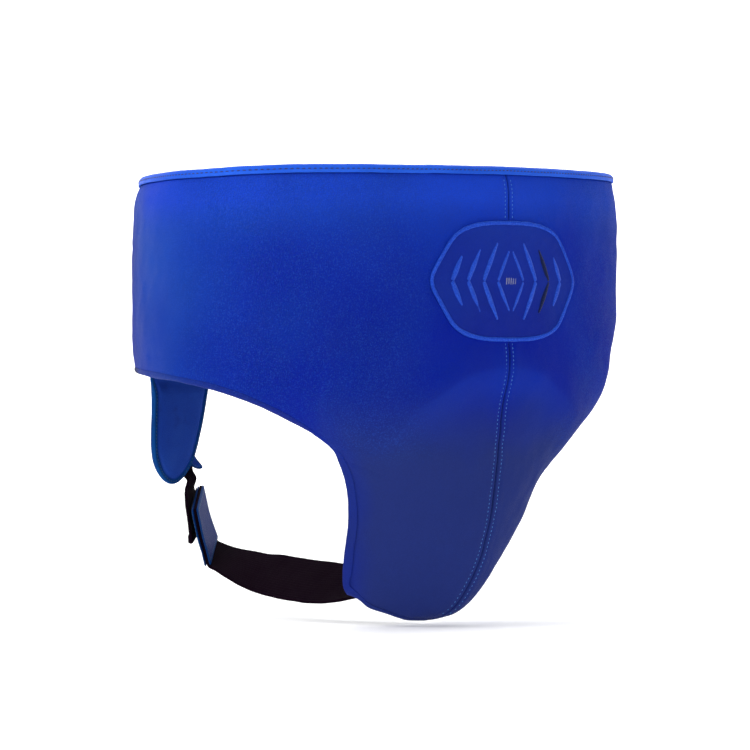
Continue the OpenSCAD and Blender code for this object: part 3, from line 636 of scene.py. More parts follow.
M_LOOP = cloth("loop_cloth", (0.006, 0.006, 0.008), (0.03, 0.03, 0.034), fuzzy=1.0, rough=0.9)
M_HOOK = webbing("hook_tape", (0.008, 0.008, 0.010), (0.05, 0.05, 0.055), ribs=650.0, cords=650.0, rough=0.5, strength=1.0)
M_FOAM, M_FOAMD = foam("foam_light", (0.020, 0.026, 0.085), (0.010, 0.013, 0.045)), foam("foam_firm", (0.010, 0.018, 0.11), (0.005, 0.009, 0.06))
M_CUP, M_GASKET = plastic("cup_plastic", (0.75, 0.75, 0.72)), plastic("gasket_rubber", (0.02, 0.02, 0.022), 0.6)


# ------------------------------------------------------------------ leather cover, two halves
def columns():
    t = np.linspace(0, 1, 150)[1:]
    return np.concatenate([
        [0.03, 0.07, 0.12, 0.17, 0.23, 0.31, 0.40, 0.50, 0.60, 0.71, 0.83, 0.96, 1.1, 1.28, 1.5],
        np.arange(1.75, 17.01, 0.25), np.linspace(17.5, 36, 36),
        36 + (WE - 36) * (t - 0.5 / (2 * np.pi) * np.sin(2 * np.pi * t))])


COLS = columns()
K36 = int(np.argmin(np.abs(COLS - 36.0)))
NROW, NLOW = 112, 78


def rows(n, c=0.6):
    t = np.linspace(0, 1, n)
    return t - c / (2 * np.pi) * np.sin(2 * np.pi * t)


def wall_grid(cols, n=NROW, low=NLOW, c=0.6, k36=None):
    """Angles and heights of the upper wall grid, and of the groin grid below it."""
    k36 = K36 if k36 is None else k36
    top = rim(cols) - 5
    bot = np.where(cols <= 36.001, -HC, leg(cols))
    Zu = top[:, None] + (bot - top)[:, None] * rows(n, c)[None]
    Au = np.repeat(cols[:, None], n, 1)
    a2 = cols[:k36 + 1]
    lo = tip(a2)
    t = np.linspace(0, 1, low + 1)[1:]
    t = t + 0.5 / np.pi * 0.5 * np.sin(np.pi * t)
    t = t / t[-1]
    Zl = -HC + (lo + HC)[:, None] * t[None]
    return Au, Zu, np.repeat(a2[:, None], low, 1), Zl


def t_faces(n, m, k, low):
    """Quads, vertex numbering and border loop of the wall grid with its groin part."""
    up = grid_faces(n, m)
    off = n * m
    i = np.arange(k)[:, None]
    j = np.arange(low)[None, :]
    top = lambda ii, jj: np.where(jj == 0, ii * m + m - 1, off + ii * low + jj - 1)
    f = np.stack([top(i, j), top(i + 1, j), top(i + 1, j + 1), top(i, j + 1)], -1).reshape(-1, 4)
    loop = ([ii * m for ii in range(n)] + [(n - 1) * m + jj for jj in range(1, m)]
            + [ii * m + m - 1 for ii in range(n - 2, k - 1, -1)] + [off + k * low + jj for jj in range(low)]
            + [off + ii * low + low - 1 for ii in range(k - 1, -1, -1)] + [off + jj for jj in range(low - 2, -1, -1)]
            + [jj for jj in range(m - 1, 0, -1)])
    return np.concatenate([up, f]), np.array(loop)


AGRID = np.linspace(0, 160, 801)
_q = P(AGRID, -70.0 + 0 * AGRID, 0)
SARC = np.concatenate([[0], np.cumsum(np.linalg.norm(np.diff(_q, axis=0), axis=1))])


def arclen(a):
    return np.sign(a) * np.interp(np.abs(a), AGRID, SARC)


EMZ, EMW, EMH = -76.0, 81.0, 41.0


def badge_xz(a, z):
    b = np.minimum(np.abs(a), 60)
    return 282 * np.sin(np.radians(b / 1.02)) * np.sign(a), z - EMZ


def badge_sd(x, z):
    """Signed distance in mm to the badge's outline, negative inside."""
    px, pz = np.abs(x) / EMW, np.abs(z) / EMH
    r = np.hypot(px, pz)
    g = np.sqrt((x / EMW ** 2) ** 2 + (z / EMH ** 2) ** 2) / np.maximum(r, 1e-6)
    return np.maximum.reduce([(pz - 1) * EMH, (px + 0.38 * pz - 1) / 0.01544, (r - 1.06) / np.maximum(g, 1e-6)])


def polydist(Q, pts):
    """Distance in mm from points Q to a line through the outer surface, and how far along it, 0 to 1."""
    K = spline(np.asarray(pts, float), 8 * len(pts))
    L = P(K[:, 0], K[:, 1], 0.0)
    best, at = np.full(Q.shape[:-1], 1e9), np.zeros(Q.shape[:-1])
    for i in range(len(L) - 1):
        d = L[i + 1] - L[i]
        t = np.clip(((Q - L[i]) @ d) / (d @ d), 0, 1)
        dist = np.linalg.norm(Q - L[i] - t[..., None] * d, axis=-1)
        m = dist < best
        best = np.where(m, dist, best)
        at = np.where(m, (i + t) / (len(L) - 1), at)
    return best, at


# folds: line through (angle, height), depth in mm (negative is a raised line), width in mm
FOLDS = [
    ([(35.6, -196), (33, -200.5), (30, -204), (28.6, -206.5)], 1.1, 1.7),
    ([(31.8, -206), (30.4, -207.6), (29.4, -208.6)], 0.5, 1.0),
    ([(29.8, -202), (30.6, -204.4), (31.4, -206.5)], -0.35, 0.9),
    ([(27.4, -203.5), (28.1, -205.8), (28.8, -207.6)], 0.45, 0.9),
    ([(25.4, -201), (26.2, -203.4), (26.9, -205.8)], -0.35, 1.0),
    ([(24.4, -207), (25.2, -209.2), (26.2, -211)], 0.4, 0.9),
    ([(22.1, -211.5), (22.8, -216), (24.2, -219.6), (26, -219)], 0.4, 1.1),
    ([(34.6, -186), (32.6, -191.5), (30.6, -195.5)], 0.35, 1.6),
    ([(11.3, -36.5), (15.5, -56.2), (19.2, -68.2), (20.7, -88)], -0.26, 0.8),
    ([(9.6, -33.5), (13.2, -46), (16.4, -54)], -0.2, 0.7),
    ([(13.2, -37), (17.4, -54), (20.6, -68)], -0.2, 0.8),
    ([(15.8, -40), (19.6, -57), (22.6, -74)], -0.16, 0.8),
    ([(4.1, -29.4), (7.1, -35.6)], -0.16, 0.7),
    ([(17.4, -64), (19.6, -84), (22.8, -104), (25.4, -118)], -0.2, 0.8),
    ([(17.2, -88), (19.0, -99), (21.4, -113)], -0.18, 0.8),
]
RIDGE = [[0, -131], [7, -137], [12, -149], [17, -162], [21, -175], [28, -187], [33, -194]]
STITCH_X, STITCH_PITCH = 3.9, 2.7


def cover_depth(a, z, side):
    """Depth of the visible leather under the smooth outer surface: seams, piping tuck, badge, folds, soft unevenness."""
    b = np.abs(a)
    Q = P(b, z, 0.0)
    x = np.abs(Q[..., 0])
    s = arclen(b)
    top = rim(b) - 5 - z
    sa = side * s
    live = arc(np.maximum(edge_dist(b, z), 0), 14) * arc(top, 10) * arc((WE - b) * 3, 12)
    d = 0.42 * wob(sa, z, 62, 11) * live + 0.22 * wob(sa, z, 24, 12) * live + 0.05 * wob(sa, z, 9, 13) * live
    # front seam: V between the halves, dimples at each stitch, soft pillow beside them
    front = np.where(b < 6, 1.0, 0.0)
    on_badge = ss(badge_sd(*badge_xz(b, z)), -1.0, 2.5)
    d = d + front * on_badge * (1.15 * np.exp(-((x / 0.95) ** 2)) + 0.26 * gauss(x, STITCH_X, 0.75) * (1 + 0.7 * np.cos(2 * np.pi * z / STITCH_PITCH))
                                - 0.30 * gauss(x, 7.5, 2.4) - 0.14 * gauss(x, 1.75, 0.6))
    # tuck under the piping, with fine gathers, and the padding's bulge below it
    gather = 0.5 + 0.5 * wob(sa, 0 * sa, 4.2, 21)
    d = d + 1.15 * np.exp(-((top / 1.5) ** 2)) + 0.16 * gather * np.exp(-top / 5.5) - 0.55 * gauss(top, 10, 7)
    d = d + 0.18 * gauss(top, 2.9, 0.7) * (1 + np.cos(2 * np.pi * sa / 3.2))
    # cup's top edge showing through as a soft shelf
    zr = tab(b, RIDGE)
    reach = 1 - ss(b, 27, 36)
    d = d - 2.3 * gauss(z - zr, -2, 15) * reach + 0.9 * gauss(z - zr, 30, 18) * reach
    # leg opening: padding rolls over the edge; on the cup's side it meets the edge strip in a seam
    e = np.where(b >= THC, z - leg(b), np.where(z < -HC, np.minimum((36 - b) * 1.75, (z - tip(b))), 99.0))
    e = np.maximum(e, 0)
    side_seam = (1 - ss(b, 36.5, 42)) * ss(-z, 184, 200)
    d = d + (0.15 + 0.9 * side_seam) * np.exp(-((e / 1.3) ** 2)) + 0.5 * (1 - arc(e, 7)) - 0.28 * gauss(e, 9, 6)
    # rear end of the wing
    w = (WE - b) * 3.2
    d = d + 0.9 * np.exp(-((w / 1.3) ** 2)) + 0.5 * (1 - arc(w, 7)) + 0.14 * gauss(w, 5.0, 0.9)
    # badge: stitching pulls the leather down on both sides of the border, padding lifts the field
    bx, bz = badge_xz(b, z)
    sd = badge_sd(bx, bz)
    th = np.arctan2(bz * 1.8, bx)
    d = d + np.where(b < 30, 0.55 * gauss(sd, 0.9, 0.9) + 0.5 * gauss(sd, -4.3, 0.9) - 0.35 * ss(-sd, 5, 14)
                     + 0.14 * np.exp(-np.abs(sd) / 5) * np.sin(th * 34 + 2 * np.sin(th * 5)) * ss(sd, 0, 1.5), 0.0)
    for pts, depth, width in FOLDS:
        dist, at = polydist(Q, pts)
        taper = np.sin(np.pi * np.clip(at * 0.92 + 0.04, 0, 1)) ** 0.6
        scale = 1.0 if side < 0 else 0.75
        d = d + scale * depth * taper * (np.exp(-((dist / width) ** 2)) - 0.35 * gauss(dist, 2.2 * width, 1.3 * width))
    return np.where(d > 0.8, 0.8 + 0.5 * (1 - np.exp(-(np.maximum(d, 0.8) - 0.8) / 0.5)), d)


def cover_paint(a, z, side):
    """Painted light on the leather, with a little dye variation: the painted sheen toward the lighter hip blue, the
    painted highlight, how far toward navy (mostly painted shade), where it is creased, and the painted shade along the
    seams.
    """
    b = np.abs(a)
    s = arclen(b)
    top = rim(b) - 5 - z
    # Painted sheen: lighter on the hip sides, less low down and at the wings' rear, and in a band under the rim; the
    # wave adds random dye variation.
    dye_and_painted_sheen = np.clip(0.06 + 1.0 * ss(b, 44, 96) * (1 - 0.52 * ss(-z, 60, 150)) * (1 - 0.78 * ss(b, 90, 122)) + 0.62 * gauss(top, 12, 26) * (0.55 + 0.45 * ss(b, 10, 40)), 0, 1)
    dye_and_painted_sheen = np.clip(dye_and_painted_sheen + 0.10 * wob(side * s, z, 70, 31), 0, 1)
    # Painted highlight: a band under the piping, the upper belly, and a strip below the cup's shelf; weaker at the
    # wings' rear and on the half with side > 0.
    zr = tab(b, RIDGE)
    shelf = ss(zr - z, 0, 4) * (1 - ss(zr - z, 10, 34)) * (1 - ss(b, 26, 36))
    bright = np.clip(0.92 * gauss(top, 7, 19) * (1 - 0.75 * ss(b, 92, 122)) + 0.30 * (1 - ss(-z, 30, 120)) * (1 - ss(b, 70, 110)) + 0.20 * shelf, 0, 1)
    front = 1 - ss(b, 22, 40)
    bright = bright * (1 - 0.38 * ss(side * b, -8, 16))
    # Painted shade toward navy: darker at the wings' rear and low on the cup's front, with a little random variation.
    navy = 0.34 * ss(b, 92, 122) + ss(-z, 138, 206) * (1 - ss(b, 30, 44)) * 0.95
    navy = np.clip(navy + 0.12 * ss(-z, 105, 150) * front + 0.06 * wob(side * s, z, 50, 32), 0, 1)
    crease = ss(b, 10, 24) * (1 - ss(b, 66, 92)) * (1 - ss(-z, 176, 204)) + 0.16
    crease = crease * (0.82 + 0.18 * ss(wob(side * s, z, 46, 33), -0.6, 0.7))
    # Painted shade along the seams: a dark line under the piping, along the front seam off the badge, and along the
    # cup's side seam.
    x = np.abs(P(b, z, 0.0)[..., 0])
    off_badge = ss(badge_sd(*badge_xz(b, z)), 0.0, 2.0)
    seam = 0.95 * np.exp(-((top / 1.15) ** 2)) + np.where(b < 6, 0.85 * np.exp(-((x / 0.75) ** 2)) * off_badge, 0.0)
    e = np.where(b >= THC, z - leg(b), (36 - b) * 1.75)
    side_seam = (1 - ss(b, 37, 40)) * ss(-z, 186, 196) * (1 - 0.6 * ss(-z, 235, 275))
    seam = np.clip(seam + 0.7 * side_seam * np.exp(-((np.maximum(e, 0) / 0.9) ** 2)) * (b > 20), 0, 1)
    return {"dye_and_painted_sheen": dye_and_painted_sheen, "navy": navy, "bright": bright, "crease": crease, "seam": seam, "round": side * s / 1000}


def cover(side):
    Au, Zu, Al, Zl = wall_grid(COLS)
    a = np.concatenate([Au.ravel(), Al.ravel()])
    z = np.concatenate([Zu.ravel(), Zl.ravel()])
    n, m = Au.shape
    faces, loop = t_faces(n, m, K36, NLOW)
    d = cover_depth(a, z, side)
    b = np.abs(a)
    G0 = P(b, z, d)
    G1 = P(b, z, np.maximum(d + 0.9, COV))
    G0[:, 0] *= side
    G1[:, 0] *= side
    N = len(a)
    paint = {k: np.tile(v, 2) for k, v in cover_paint(a, z, side).items()}
    name = "leather_cover_" + ("left" if side > 0 else "right")
    ob = build(name, np.concatenate([G0, G1]), [faces, faces[:, ::-1] + N, wall(loop, loop + N)], M_COVER, sharp=58,
               attrs=paint, slot="cover_leather")
    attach(ob, "shell")
    tail_name = "left" if side > 0 else "right"
    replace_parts(ob, "outer_cover_" + tail_name)
    return ob


cover_right, cover_left = cover(-1), cover(1)


# ------------------------------------------------------------------ topstitching beside the front seam
def seam_stitches():
    c, t, u = [], [], []
    zz = np.arange(-8.0, -303.0, -STITCH_PITCH)
    for side in (-1, 1):
        for z in zz:
            if badge_sd(0.0, z - EMZ) < 1.2:
                continue
            lo, hi = 0.0, 3.5
            for _ in range(14):
                mid = (lo + hi) / 2
                lo, hi = (mid, hi) if P(mid, z, 0.0)[0] < STITCH_X else (lo, mid)
            d0 = float(cover_depth(np.array([lo]), np.array([z + 0.0]), side)[0])
            p = P(lo, z, d0 - 0.10)
            q = P(lo, z - 0.8, d0 - 0.10)
            r = P(lo, z, d0 - 1.1)
            f = np.array([side, 1, 1])
            c.append(p * f)
            t.append((q - p) * f + np.array([side * 0.05, 0, 0]))
            u.append((r - p) * f)
    return c, t, u


ob = stitches("front_seam_stitches", *seam_stitches(), M_THREAD, length=1.55, radius=0.30)
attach(ob, "shell")
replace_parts(ob, "front_seam_thread")


# ------------------------------------------------------------------ piping round the waist rim
def ring_smooth(K, n):
    """A closed smooth ring through the rows of K."""
    K = np.asarray(K, float)
    pad = np.vstack([K[-2:], K, K[:3]])
    t = np.linspace(2, 2 + len(K), n, endpoint=False)
    return spline(pad, t=t)


TB = [(-1.05, 0.0), (-1.15, -0.55), (-0.35, -0.85), (0.8, -0.4), (2.0, 0.25), (5.0, 0.3), (9.0, 0.3), (EDGE - 0.2, 0.25), (EDGE + 0.95, -0.3),
      (EDGE + 1.05, 0.8), (EDGE + 0.98, 2.2), (EDGE + 0.45, 3.6), (EDGE - 1.5, 4.65), (EDGE / 2, 5.0), (1.7, 4.75), (0.2, 4.15),
      (-0.72, 3.1), (-0.98, 2.25), (-0.72, 1.85), (-1.02, 1.45), (-1.12, 0.7)]
A_END = WE + 1.4


def binding_pts(a, z, prof):
    """Profile points (depth, lift) carried round at angles a, rows follow the rim."""
    d, up = prof[:, 0][None], prof[:, 1][None]
    p = P(a[:, None] + 0 * d, z[:, None] + 0 * d, d + 0 * a[:, None])
    p[..., 2] = z[:, None] + up
    return p


aa = np.concatenate([-np.linspace(A_END, 0, 330)[:-1], np.linspace(0, A_END, 330)])
prof = ring_smooth(TB, 40)
zz = rim(aa) - 5
R = binding_pts(aa, zz, prof)
sa = arclen(aa)
wave = (0.07 * wob(sa, 0 * sa, 38, 41) + 0.05 * wob(sa, 0 * sa, 11, 42))[:, None]
mid = R.mean(1, keepdims=True)
R = mid + (R - mid) * (1 + 0.03 * wave[..., None])
R[..., 2] += wave * 1.2
endr = np.clip((A_END - np.abs(aa)) / 1.1, 0, 1)
shrink = (0.55 + 0.45 * np.sqrt(1 - (1 - endr) ** 2))[:, None, None]
R = mid + (R - mid) * shrink
ob = build("waist_piping", *tube(R), M_RIM, sharp=None, slot="rim_leather")
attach(ob, "shell")
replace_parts(ob, "top_binding")

cc, tt, uu = [], [], []
for face_d, out in ((-0.80, -1), (EDGE + 1.02, 1)):
    arcs = np.arange(-arclen(A_END) + 4, arclen(A_END) - 4, 4.0)
    ang = np.sign(arcs) * np.interp(np.abs(arcs), SARC, AGRID)
    z0 = rim(ang) - 5
    p = P(ang, z0, face_d + 0 * ang)
    q = P(ang + 0.3, rim(ang + 0.3) - 5, face_d + 0 * ang)
    k = P(ang, z0, face_d + out * 1.0 + 0 * ang)
    p[:, 2] += 1.85
    q[:, 2] += 1.85
    k[:, 2] += 1.85
    cc.append(p), tt.append(q - p), uu.append(k - p)
ob = stitches("waist_piping_stitches", np.concatenate(cc), np.concatenate(tt), np.concatenate(uu), M_RIMTHREAD, length=2.7, radius=0.42)
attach(ob, "shell")


# ------------------------------------------------------------------ rolled leather edge round each leg opening and the cup
def leg_line():
    """Stations (angle, height, way out in degrees and mm per mm) along the free edge, wing end to cup middle."""
    st = [[WE + 1.4, leg(WE), 0, -1]]
    for a in np.linspace(WE, 43, 150):
        st.append([a, float(leg(a)), 0, -1])
    key = [[43, float(leg(43)), 0.05, -0.99], [39, float(leg(39)), 0.2, -0.93], [36.6, -187.2, 0.38, -0.75], [36, -191, 0.46, -0.56],
           [36, -196.5, 0.56, -0.25], [36, -203, 0.6, -0.05], [36, -215, 0.6, 0], [36, -235, 0.6, 0], [36, -255, 0.6, 0],
           [36, -267, 0.59, -0.06], [36, -275.5, 0.53, -0.36], [36, float(tip(36)), 0.38, -0.76], [34.2, float(tip(34.2)), 0.24, -0.9],
           [32, float(tip(32)), 0.1, -0.97], [28, float(tip(28)), 0.02, -1], [24, float(tip(24)), 0, -1]]
    st += list(spline(key, 130)[1:])
    for a in np.linspace(24, 0.04, 40)[1:]:
        st.append([a, float(tip(a)), 0, -1])
    return np.array(st)


LEG = leg_line()
LB = [(-0.9, 0.9), (-0.7, 0.12), (0.2, -0.12), (1.5, 0.05), (2.9, 1.25), (3.65, 3.4), (3.85, 5.6), (3.6, 7.9), (2.9, 10.0), (1.5, 11.3), (0.1, 11.55),
      (-0.9, 11.35), (-1.2, 10.2), (-0.2, 9.4), (0.2, 6.0), (-0.1, 2.6)]


def leg_binding(side):
    prof = ring_smooth(LB, 34)
    L = LEG
    t = np.linspace(0, 1, len(L))
    s = np.concatenate([[0], np.cumsum(np.linalg.norm(np.diff(P(L[:, 0], L[:, 1], 5.0), axis=0), axis=1))])
    swell = 1 + 0.05 * wob(side * s, 0 * s, 42, 51) + 0.025 * wob(side * s, 0 * s, 9, 52)
    cupside = ss(-L[:, 1], 188, 200) * (L[:, 0] > 20)
    c0 = prof[:, 0][None] * swell[:, None]
    c1 = prof[:, 1][None] + 0 * c0
    c1 = c1 + np.where(c1 < 5, -0.25 * cupside[:, None] * gauss(c0, 1.6, 1.2), 0)
    c0 = np.where(c0 > 0, c0 * (1 - 0.86 * ss(-L[:, 1], 295, 305.5))[:, None], c0)
    a = L[:, 0][:, None] + L[:, 2][:, None] * c0
    z = L[:, 1][:, None] + L[:, 3][:, None] * c0
    neg = a < 0.04
    R = P(np.where(neg, 0.04, a), z, c1)
    R[..., 0] *= side
    name = "leg_edge_" + ("left" if side > 0 else "right")
    # The leg edge carries the cover's painted sheen, highlight and shade, but no painted seam shade.
    pa = cover_paint(side * np.clip(a[:, 0], 0.04, WE), z[:, 0], side)
    pa["seam"] = 0 * pa["seam"]
    # Painted reflection of light from below: greyish violet on the lip, strongest at the wings' rear, weaker by the
    # cup.
    pa["trim"] = 0.75 * ss(np.clip(a[:, 0], 0, 180), 104, 122) + 0.30 * ss(np.clip(a[:, 0], 0, 180), 38, 46)
    pts, faces = tube(R)
    m_ = R.shape[1]
    pa = {k: np.concatenate([np.repeat(v, m_), [v[0], v[-1]]]) for k, v in pa.items()}
    ob = build(name, pts, faces, M_COVER, sharp=None, slot="edge_leather", attrs=pa)
    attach(ob, "shell")
    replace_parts(ob, "leg_binding_" + ("left" if side > 0 else "right"))
    return ob


leg_binding(-1), leg_binding(1)


def wing_end(side):
    zt, zb = float(rim(WE)) - 5, float(leg(WE))
    z = np.linspace(zt + 0.2, zb - 0.4, 90)
    WB = [(0.02, 0.2), (0.35, -0.45), (0.85, -0.3), (1.2, 1.4), (1.35, 5.5), (1.2, 9.6), (0.85, 11.3), (0.35, 11.5), (0.02, 10.8), (0.2, 8), (0.2, 3)]
    prof = ring_smooth(WB, 30)
    k = 1 + 0.05 * wob(z, 0 * z, 30, 61 + side)[:, None]
    R = P(WE + 0.08 + prof[:, 0][None] * k, z[:, None] + 0 * prof[:, 0][None], prof[:, 1][None] + 0 * k)
    R[..., 0] *= side
    name = "wing_edge_" + ("left" if side > 0 else "right")
    ob = build(name, *tube(R), M_EDGE, sharp=None, slot="edge_leather")
    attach(ob, "shell")
    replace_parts(ob, "wing_end_binding_" + ("left" if side > 0 else "right"))


wing_end(-1), wing_end(1)


# ------------------------------------------------------------------ stitched badge
def em(x, z, d):
    """Point on the belly at badge coordinates x, z in mm, at depth d from the leather there."""
    x, z = np.asarray(x, float), np.asarray(z, float)
    a = np.degrees(np.arcsin(x / 282)) * 1.02
    zz = EMZ + z
    return P(a, zz, np.asarray(d, float))


def hexr(k, s, n=48):
    """The badge's outline, offset by s mm, at k of n steps round it."""
    c = np.array([[1, 0], [0.62, 1], [-0.62, 1], [-1, 0], [-0.62, -1], [0.62, -1]], float)
    k = np.asarray(k, float) * 6 / n
    i = np.floor(k).astype(int) % 6
    f = (k - np.floor(k))[:, None]
    p = c[i] + (c[(i + 1) % 6] - c[i]) * f
    r = np.linalg.norm(p, axis=1, keepdims=True)
    return p * 1.06 / np.maximum(1.06, r) * np.array([[EMW + s, EMH + s]])


def hex_path(s, step):
    p = hexr(np.linspace(0, 48, 961), s)[:-1]
    for _ in range(900):  # ease the corners
        p = p * 0.5 + 0.25 * (np.roll(p, 1, 0) + np.roll(p, -1, 0))
    q, at = resample(np.vstack([p, p[:1]]), step)
    return q[:-1], at[:-1]


def badge_field():
    """The badge's ground: thin leather that covers the seam, tucked under the border."""
    n, m = 240, 46
    ring, _ = hex_path(-1.9, 0.5)
    at = np.linspace(0, len(ring), n, endpoint=False)
    px = np.stack([np.interp(at, np.arange(len(ring) + 1), np.append(ring[:, k], ring[0, k])) for k in range(2)], -1)
    r = 0.02 + 0.98 * np.linspace(0, 1, m) ** 0.8
    X, Z = px[:, 0][:, None] * r[None], px[:, 1][:, None] * r[None]
    a = np.degrees(np.arcsin(X / 282)) * 1.02
    e = (1 - r)[None] * np.linalg.norm(px, axis=1)[:, None]
    lift = 0.42 * arc(e, 2.2) + 0.16 * wob(X, Z, 22, 75) * arc(e, 8) + 0.10 * wob(X, Z, 8, 76) * arc(e, 6)
    d0 = -0.35 * ss(-badge_sd(X, Z), 5, 14) + 0.42 * wob(arclen(a), EMZ + Z, 62, 11) * 0.6
    top, low = em(X, Z, np.minimum(d0, 0.2) - 0.35 - lift), em(X, Z, 0 * X + 0.25)
    N = n * m
    f = grid_faces(n, m, wrap_n=True)
    outer_, inner_ = np.arange(n) * m + m - 1, np.arange(n) * m
    caps = [inner_[::-1][None], inner_[None] + N]
    s_ = arclen(a)
    # The field carries the cover's painted sheen, highlight and shade, with painted shade along its edge under the
    # border.
    paint = {k: np.tile(v.ravel(), 2) for k, v in cover_paint(a, EMZ + Z, 1).items()}
    paint["seam"] = np.tile((0.75 * np.exp(-((e / 1.0) ** 2))).ravel(), 2)
    paint["navy"] = np.clip(paint["navy"] + 0.30, 0, 1)
    paint["round"] = np.tile((s_ / 1000).ravel(), 2)
    ob = build("badge_field", np.concatenate([top.reshape(-1, 3), low.reshape(-1, 3)]),
               [f, f[:, ::-1] + N, wall(outer_, outer_ + N)] + caps, M_COVER, sharp=60, slot="cover_leather", attrs=paint)
    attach(ob, "shell")
    return ob


badge_field()


def badge_ring(name, s, width, height, step, mat, slot, base=-0.02, cut=0.9):
    """A satin-stitched closed line: a low rounded roll with a ridge for each thread."""
    p, at = hex_path(s, step)
    t = unit(np.roll(p, -1, 0) - np.roll(p, 1, 0))
    nv = np.stack([t[:, 1], -t[:, 0]], -1)
    th = np.linspace(0, 2 * np.pi, 18, endpoint=False)
    cx, cy = np.cos(th), np.sin(th)
    ridge = 1 + 0.16 * np.sin(2 * np.pi * at / cut) + 0.07 * wob(at, 0 * at, 5, 71)
    wv = 1 + 0.05 * wob(at, 0 * at, 13, 72)
    off = cx[None] * (width / 2) * (wv * (1 + 0.03 * np.sin(2 * np.pi * at / cut + 1)))[:, None]
    up = np.where(cy > 0, cy, 0.25 * cy)[None] * height * ridge[:, None]
    X = p[:, 0][:, None] + nv[:, 0][:, None] * off
    Z = p[:, 1][:, None] + nv[:, 1][:, None] * off
    R = em(X, Z, base - up)
    n, m = R.shape[:2]
    ob = build(name, R, [grid_faces(n, m, wrap_n=True, wrap_m=True)], mat, sharp=None, slot=slot,
               attrs={"along": np.repeat(at / 1000 + 0 * at, m) + (off / 1000 * 0.35).ravel()})
    return ob


ob = badge_ring("badge_border", -1.6, 3.0, 1.5, 0.14, M_SATIN, "satin_thread")
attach(ob, "shell")
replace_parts(ob, "emblem_border")


def stroke(pts, widths, height=0.95, step=0.2, cut=0.8, base=-0.75):
    """A satin-stitched stroke through badge points, wider where widths says."""
    K = np.column_stack([np.asarray(pts, float), np.asarray(widths, float)])
    q, at = resample(spline(K, 12 * len(K)) if len(K) > 2 else K, step)
    p, w = q[:, :2], q[:, 2]
    t = unit(np.gradient(p, axis=0))
    nv = np.stack([t[:, 1], -t[:, 0]], -1)
    th = np.linspace(0, 2 * np.pi, 14, endpoint=False)
    end = np.minimum(at, at[-1] - at)
    rnd = np.sqrt(1 - (1 - np.clip(end / 1.1, 0, 1)) ** 2) * 0.93 + 0.07
    ridge = 1 + 0.13 * np.sin(2 * np.pi * at / cut)
    off = np.cos(th)[None] * (w / 2 * rnd * (1 + 0.03 * np.sin(2 * np.pi * at / cut + 1)))[:, None]
    up = np.where(np.sin(th) > 0, np.sin(th), 0.25 * np.sin(th))[None] * (height * rnd * ridge * (0.55 + 0.45 * w / max(w)))[:, None]
    R = em(p[:, 0][:, None] + nv[:, 0][:, None] * off, p[:, 1][:, None] + nv[:, 1][:, None] * off, base - up)
    pts_, faces = tube(R)
    along = np.concatenate([np.repeat(at / 1000, len(th)) + (off / 1000 * 0.3).ravel(), [at[0] / 1000, at[-1] / 1000]])
    return pts_, faces, along


def stroke_set(name, strokes, mat):
    got = [stroke(*s) for s in strokes]
    pts, faces = stack([(g[0], g[1]) for g in got])
    ob = build(name, pts, by_size(faces), mat, sharp=None, slot="satin_thread", attrs={"along": np.concatenate([g[2] for g in got])})
    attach(ob, "shell")
    return ob


bright, dark, pale = [], [], []
for s in (-1, 1):
    for k in range(3):
        x, h = 28 + 15 * k, 26 - 4.6 * k
        up_ = [(s * x, 0.25), (s * (x - h * 0.26), h * 0.5), (s * (x - h * 0.55), h)]
        dn = [(s * x, -0.25), (s * (x - h * 0.26), -h * 0.5), (s * (x - h * 0.55), -h)]
        keep = dark if (s > 0 and k == 1) else bright
        keep.append((up_, [3.4, 4.4, 1.7]))
        keep.append((dn, [3.4, 4.4, 1.7]))
    bright.append(([(s * 1.6, 20.5), (s * 7.8, 10.4), (s * 13.5, 0.25)], [1.7, 3.4, 2.8]))
    bright.append(([(s * 13.5, -0.25), (s * 7.8, -10.4), (s * 1.6, -20.5)], [2.8, 3.4, 1.7]))
for k in range(5):
    pale.append(([(2.3 * (k - 2) - 0.4, -2.6), (2.3 * (k - 2) + 0.4, 2.6)], [1.25, 1.25], 0.7))
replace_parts(stroke_set("badge_motif", bright, M_SATIN), "emblem_motif")
stroke_set("badge_motif_dark", dark, M_SATINDARK)
stroke_set("badge_ticks", pale, M_SILVER)


# ------------------------------------------------------------------ lining
def lining(upper):
    cols = np.concatenate([-np.linspace(WE, 0, 190)[:-1], np.linspace(0, WE, 190)]) if upper else np.linspace(-36, 36, 101)
    n = 64
    if upper:
        top = rim(cols) - 5
        bot = np.where(np.abs(cols) <= 36.001, -HC, leg(cols))
        z = top[:, None] + (bot - top)[:, None] * rows(n, 0.75)[None]
    else:
        z = -HC + (tip(cols) + HC)[:, None] * np.linspace(0, 1, n)[None] ** 0.9
    a = np.repeat(cols[:, None], n, 1)
    T = thick(a, z)
    s = arclen(a)
    puff = 0.55 * wob(s, z, 40, 81) + 0.22 * wob(s, z, 15, 82)
    live = arc(np.maximum(edge_dist(np.abs(a), z), 0), 12) * arc(rim(a) - 5 - z, 12) * arc((WE - np.abs(a)) * 3, 12)
    seam = 0.9 * gauss(P(a, z, 0.0)[..., 0], 0, 1.6)
    face = T - np.where(live > 0, live, 0) * (0.35 + 0.35 * puff) - seam * live * 0.8
    cuff = 0.9 * ss(-z, 176, 200) * (np.abs(a) < 60)
    T, face = T + cuff, face + cuff
    G0 = P(a, z, T - LIN)
    G1 = P(a, z, np.maximum(face, T - LIN + 0.3))
    pts, faces = two_sided(G0, G1)
    ob = build("waist_lining_cloth" if upper else "groin_lining_cloth", pts, faces, M_LINING, sharp=58, slot="lining_cloth")
    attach(ob, "shell")
    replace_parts(ob, "waist_lining" if upper else "groin_lining")
    return ob


lining(True), lining(False)


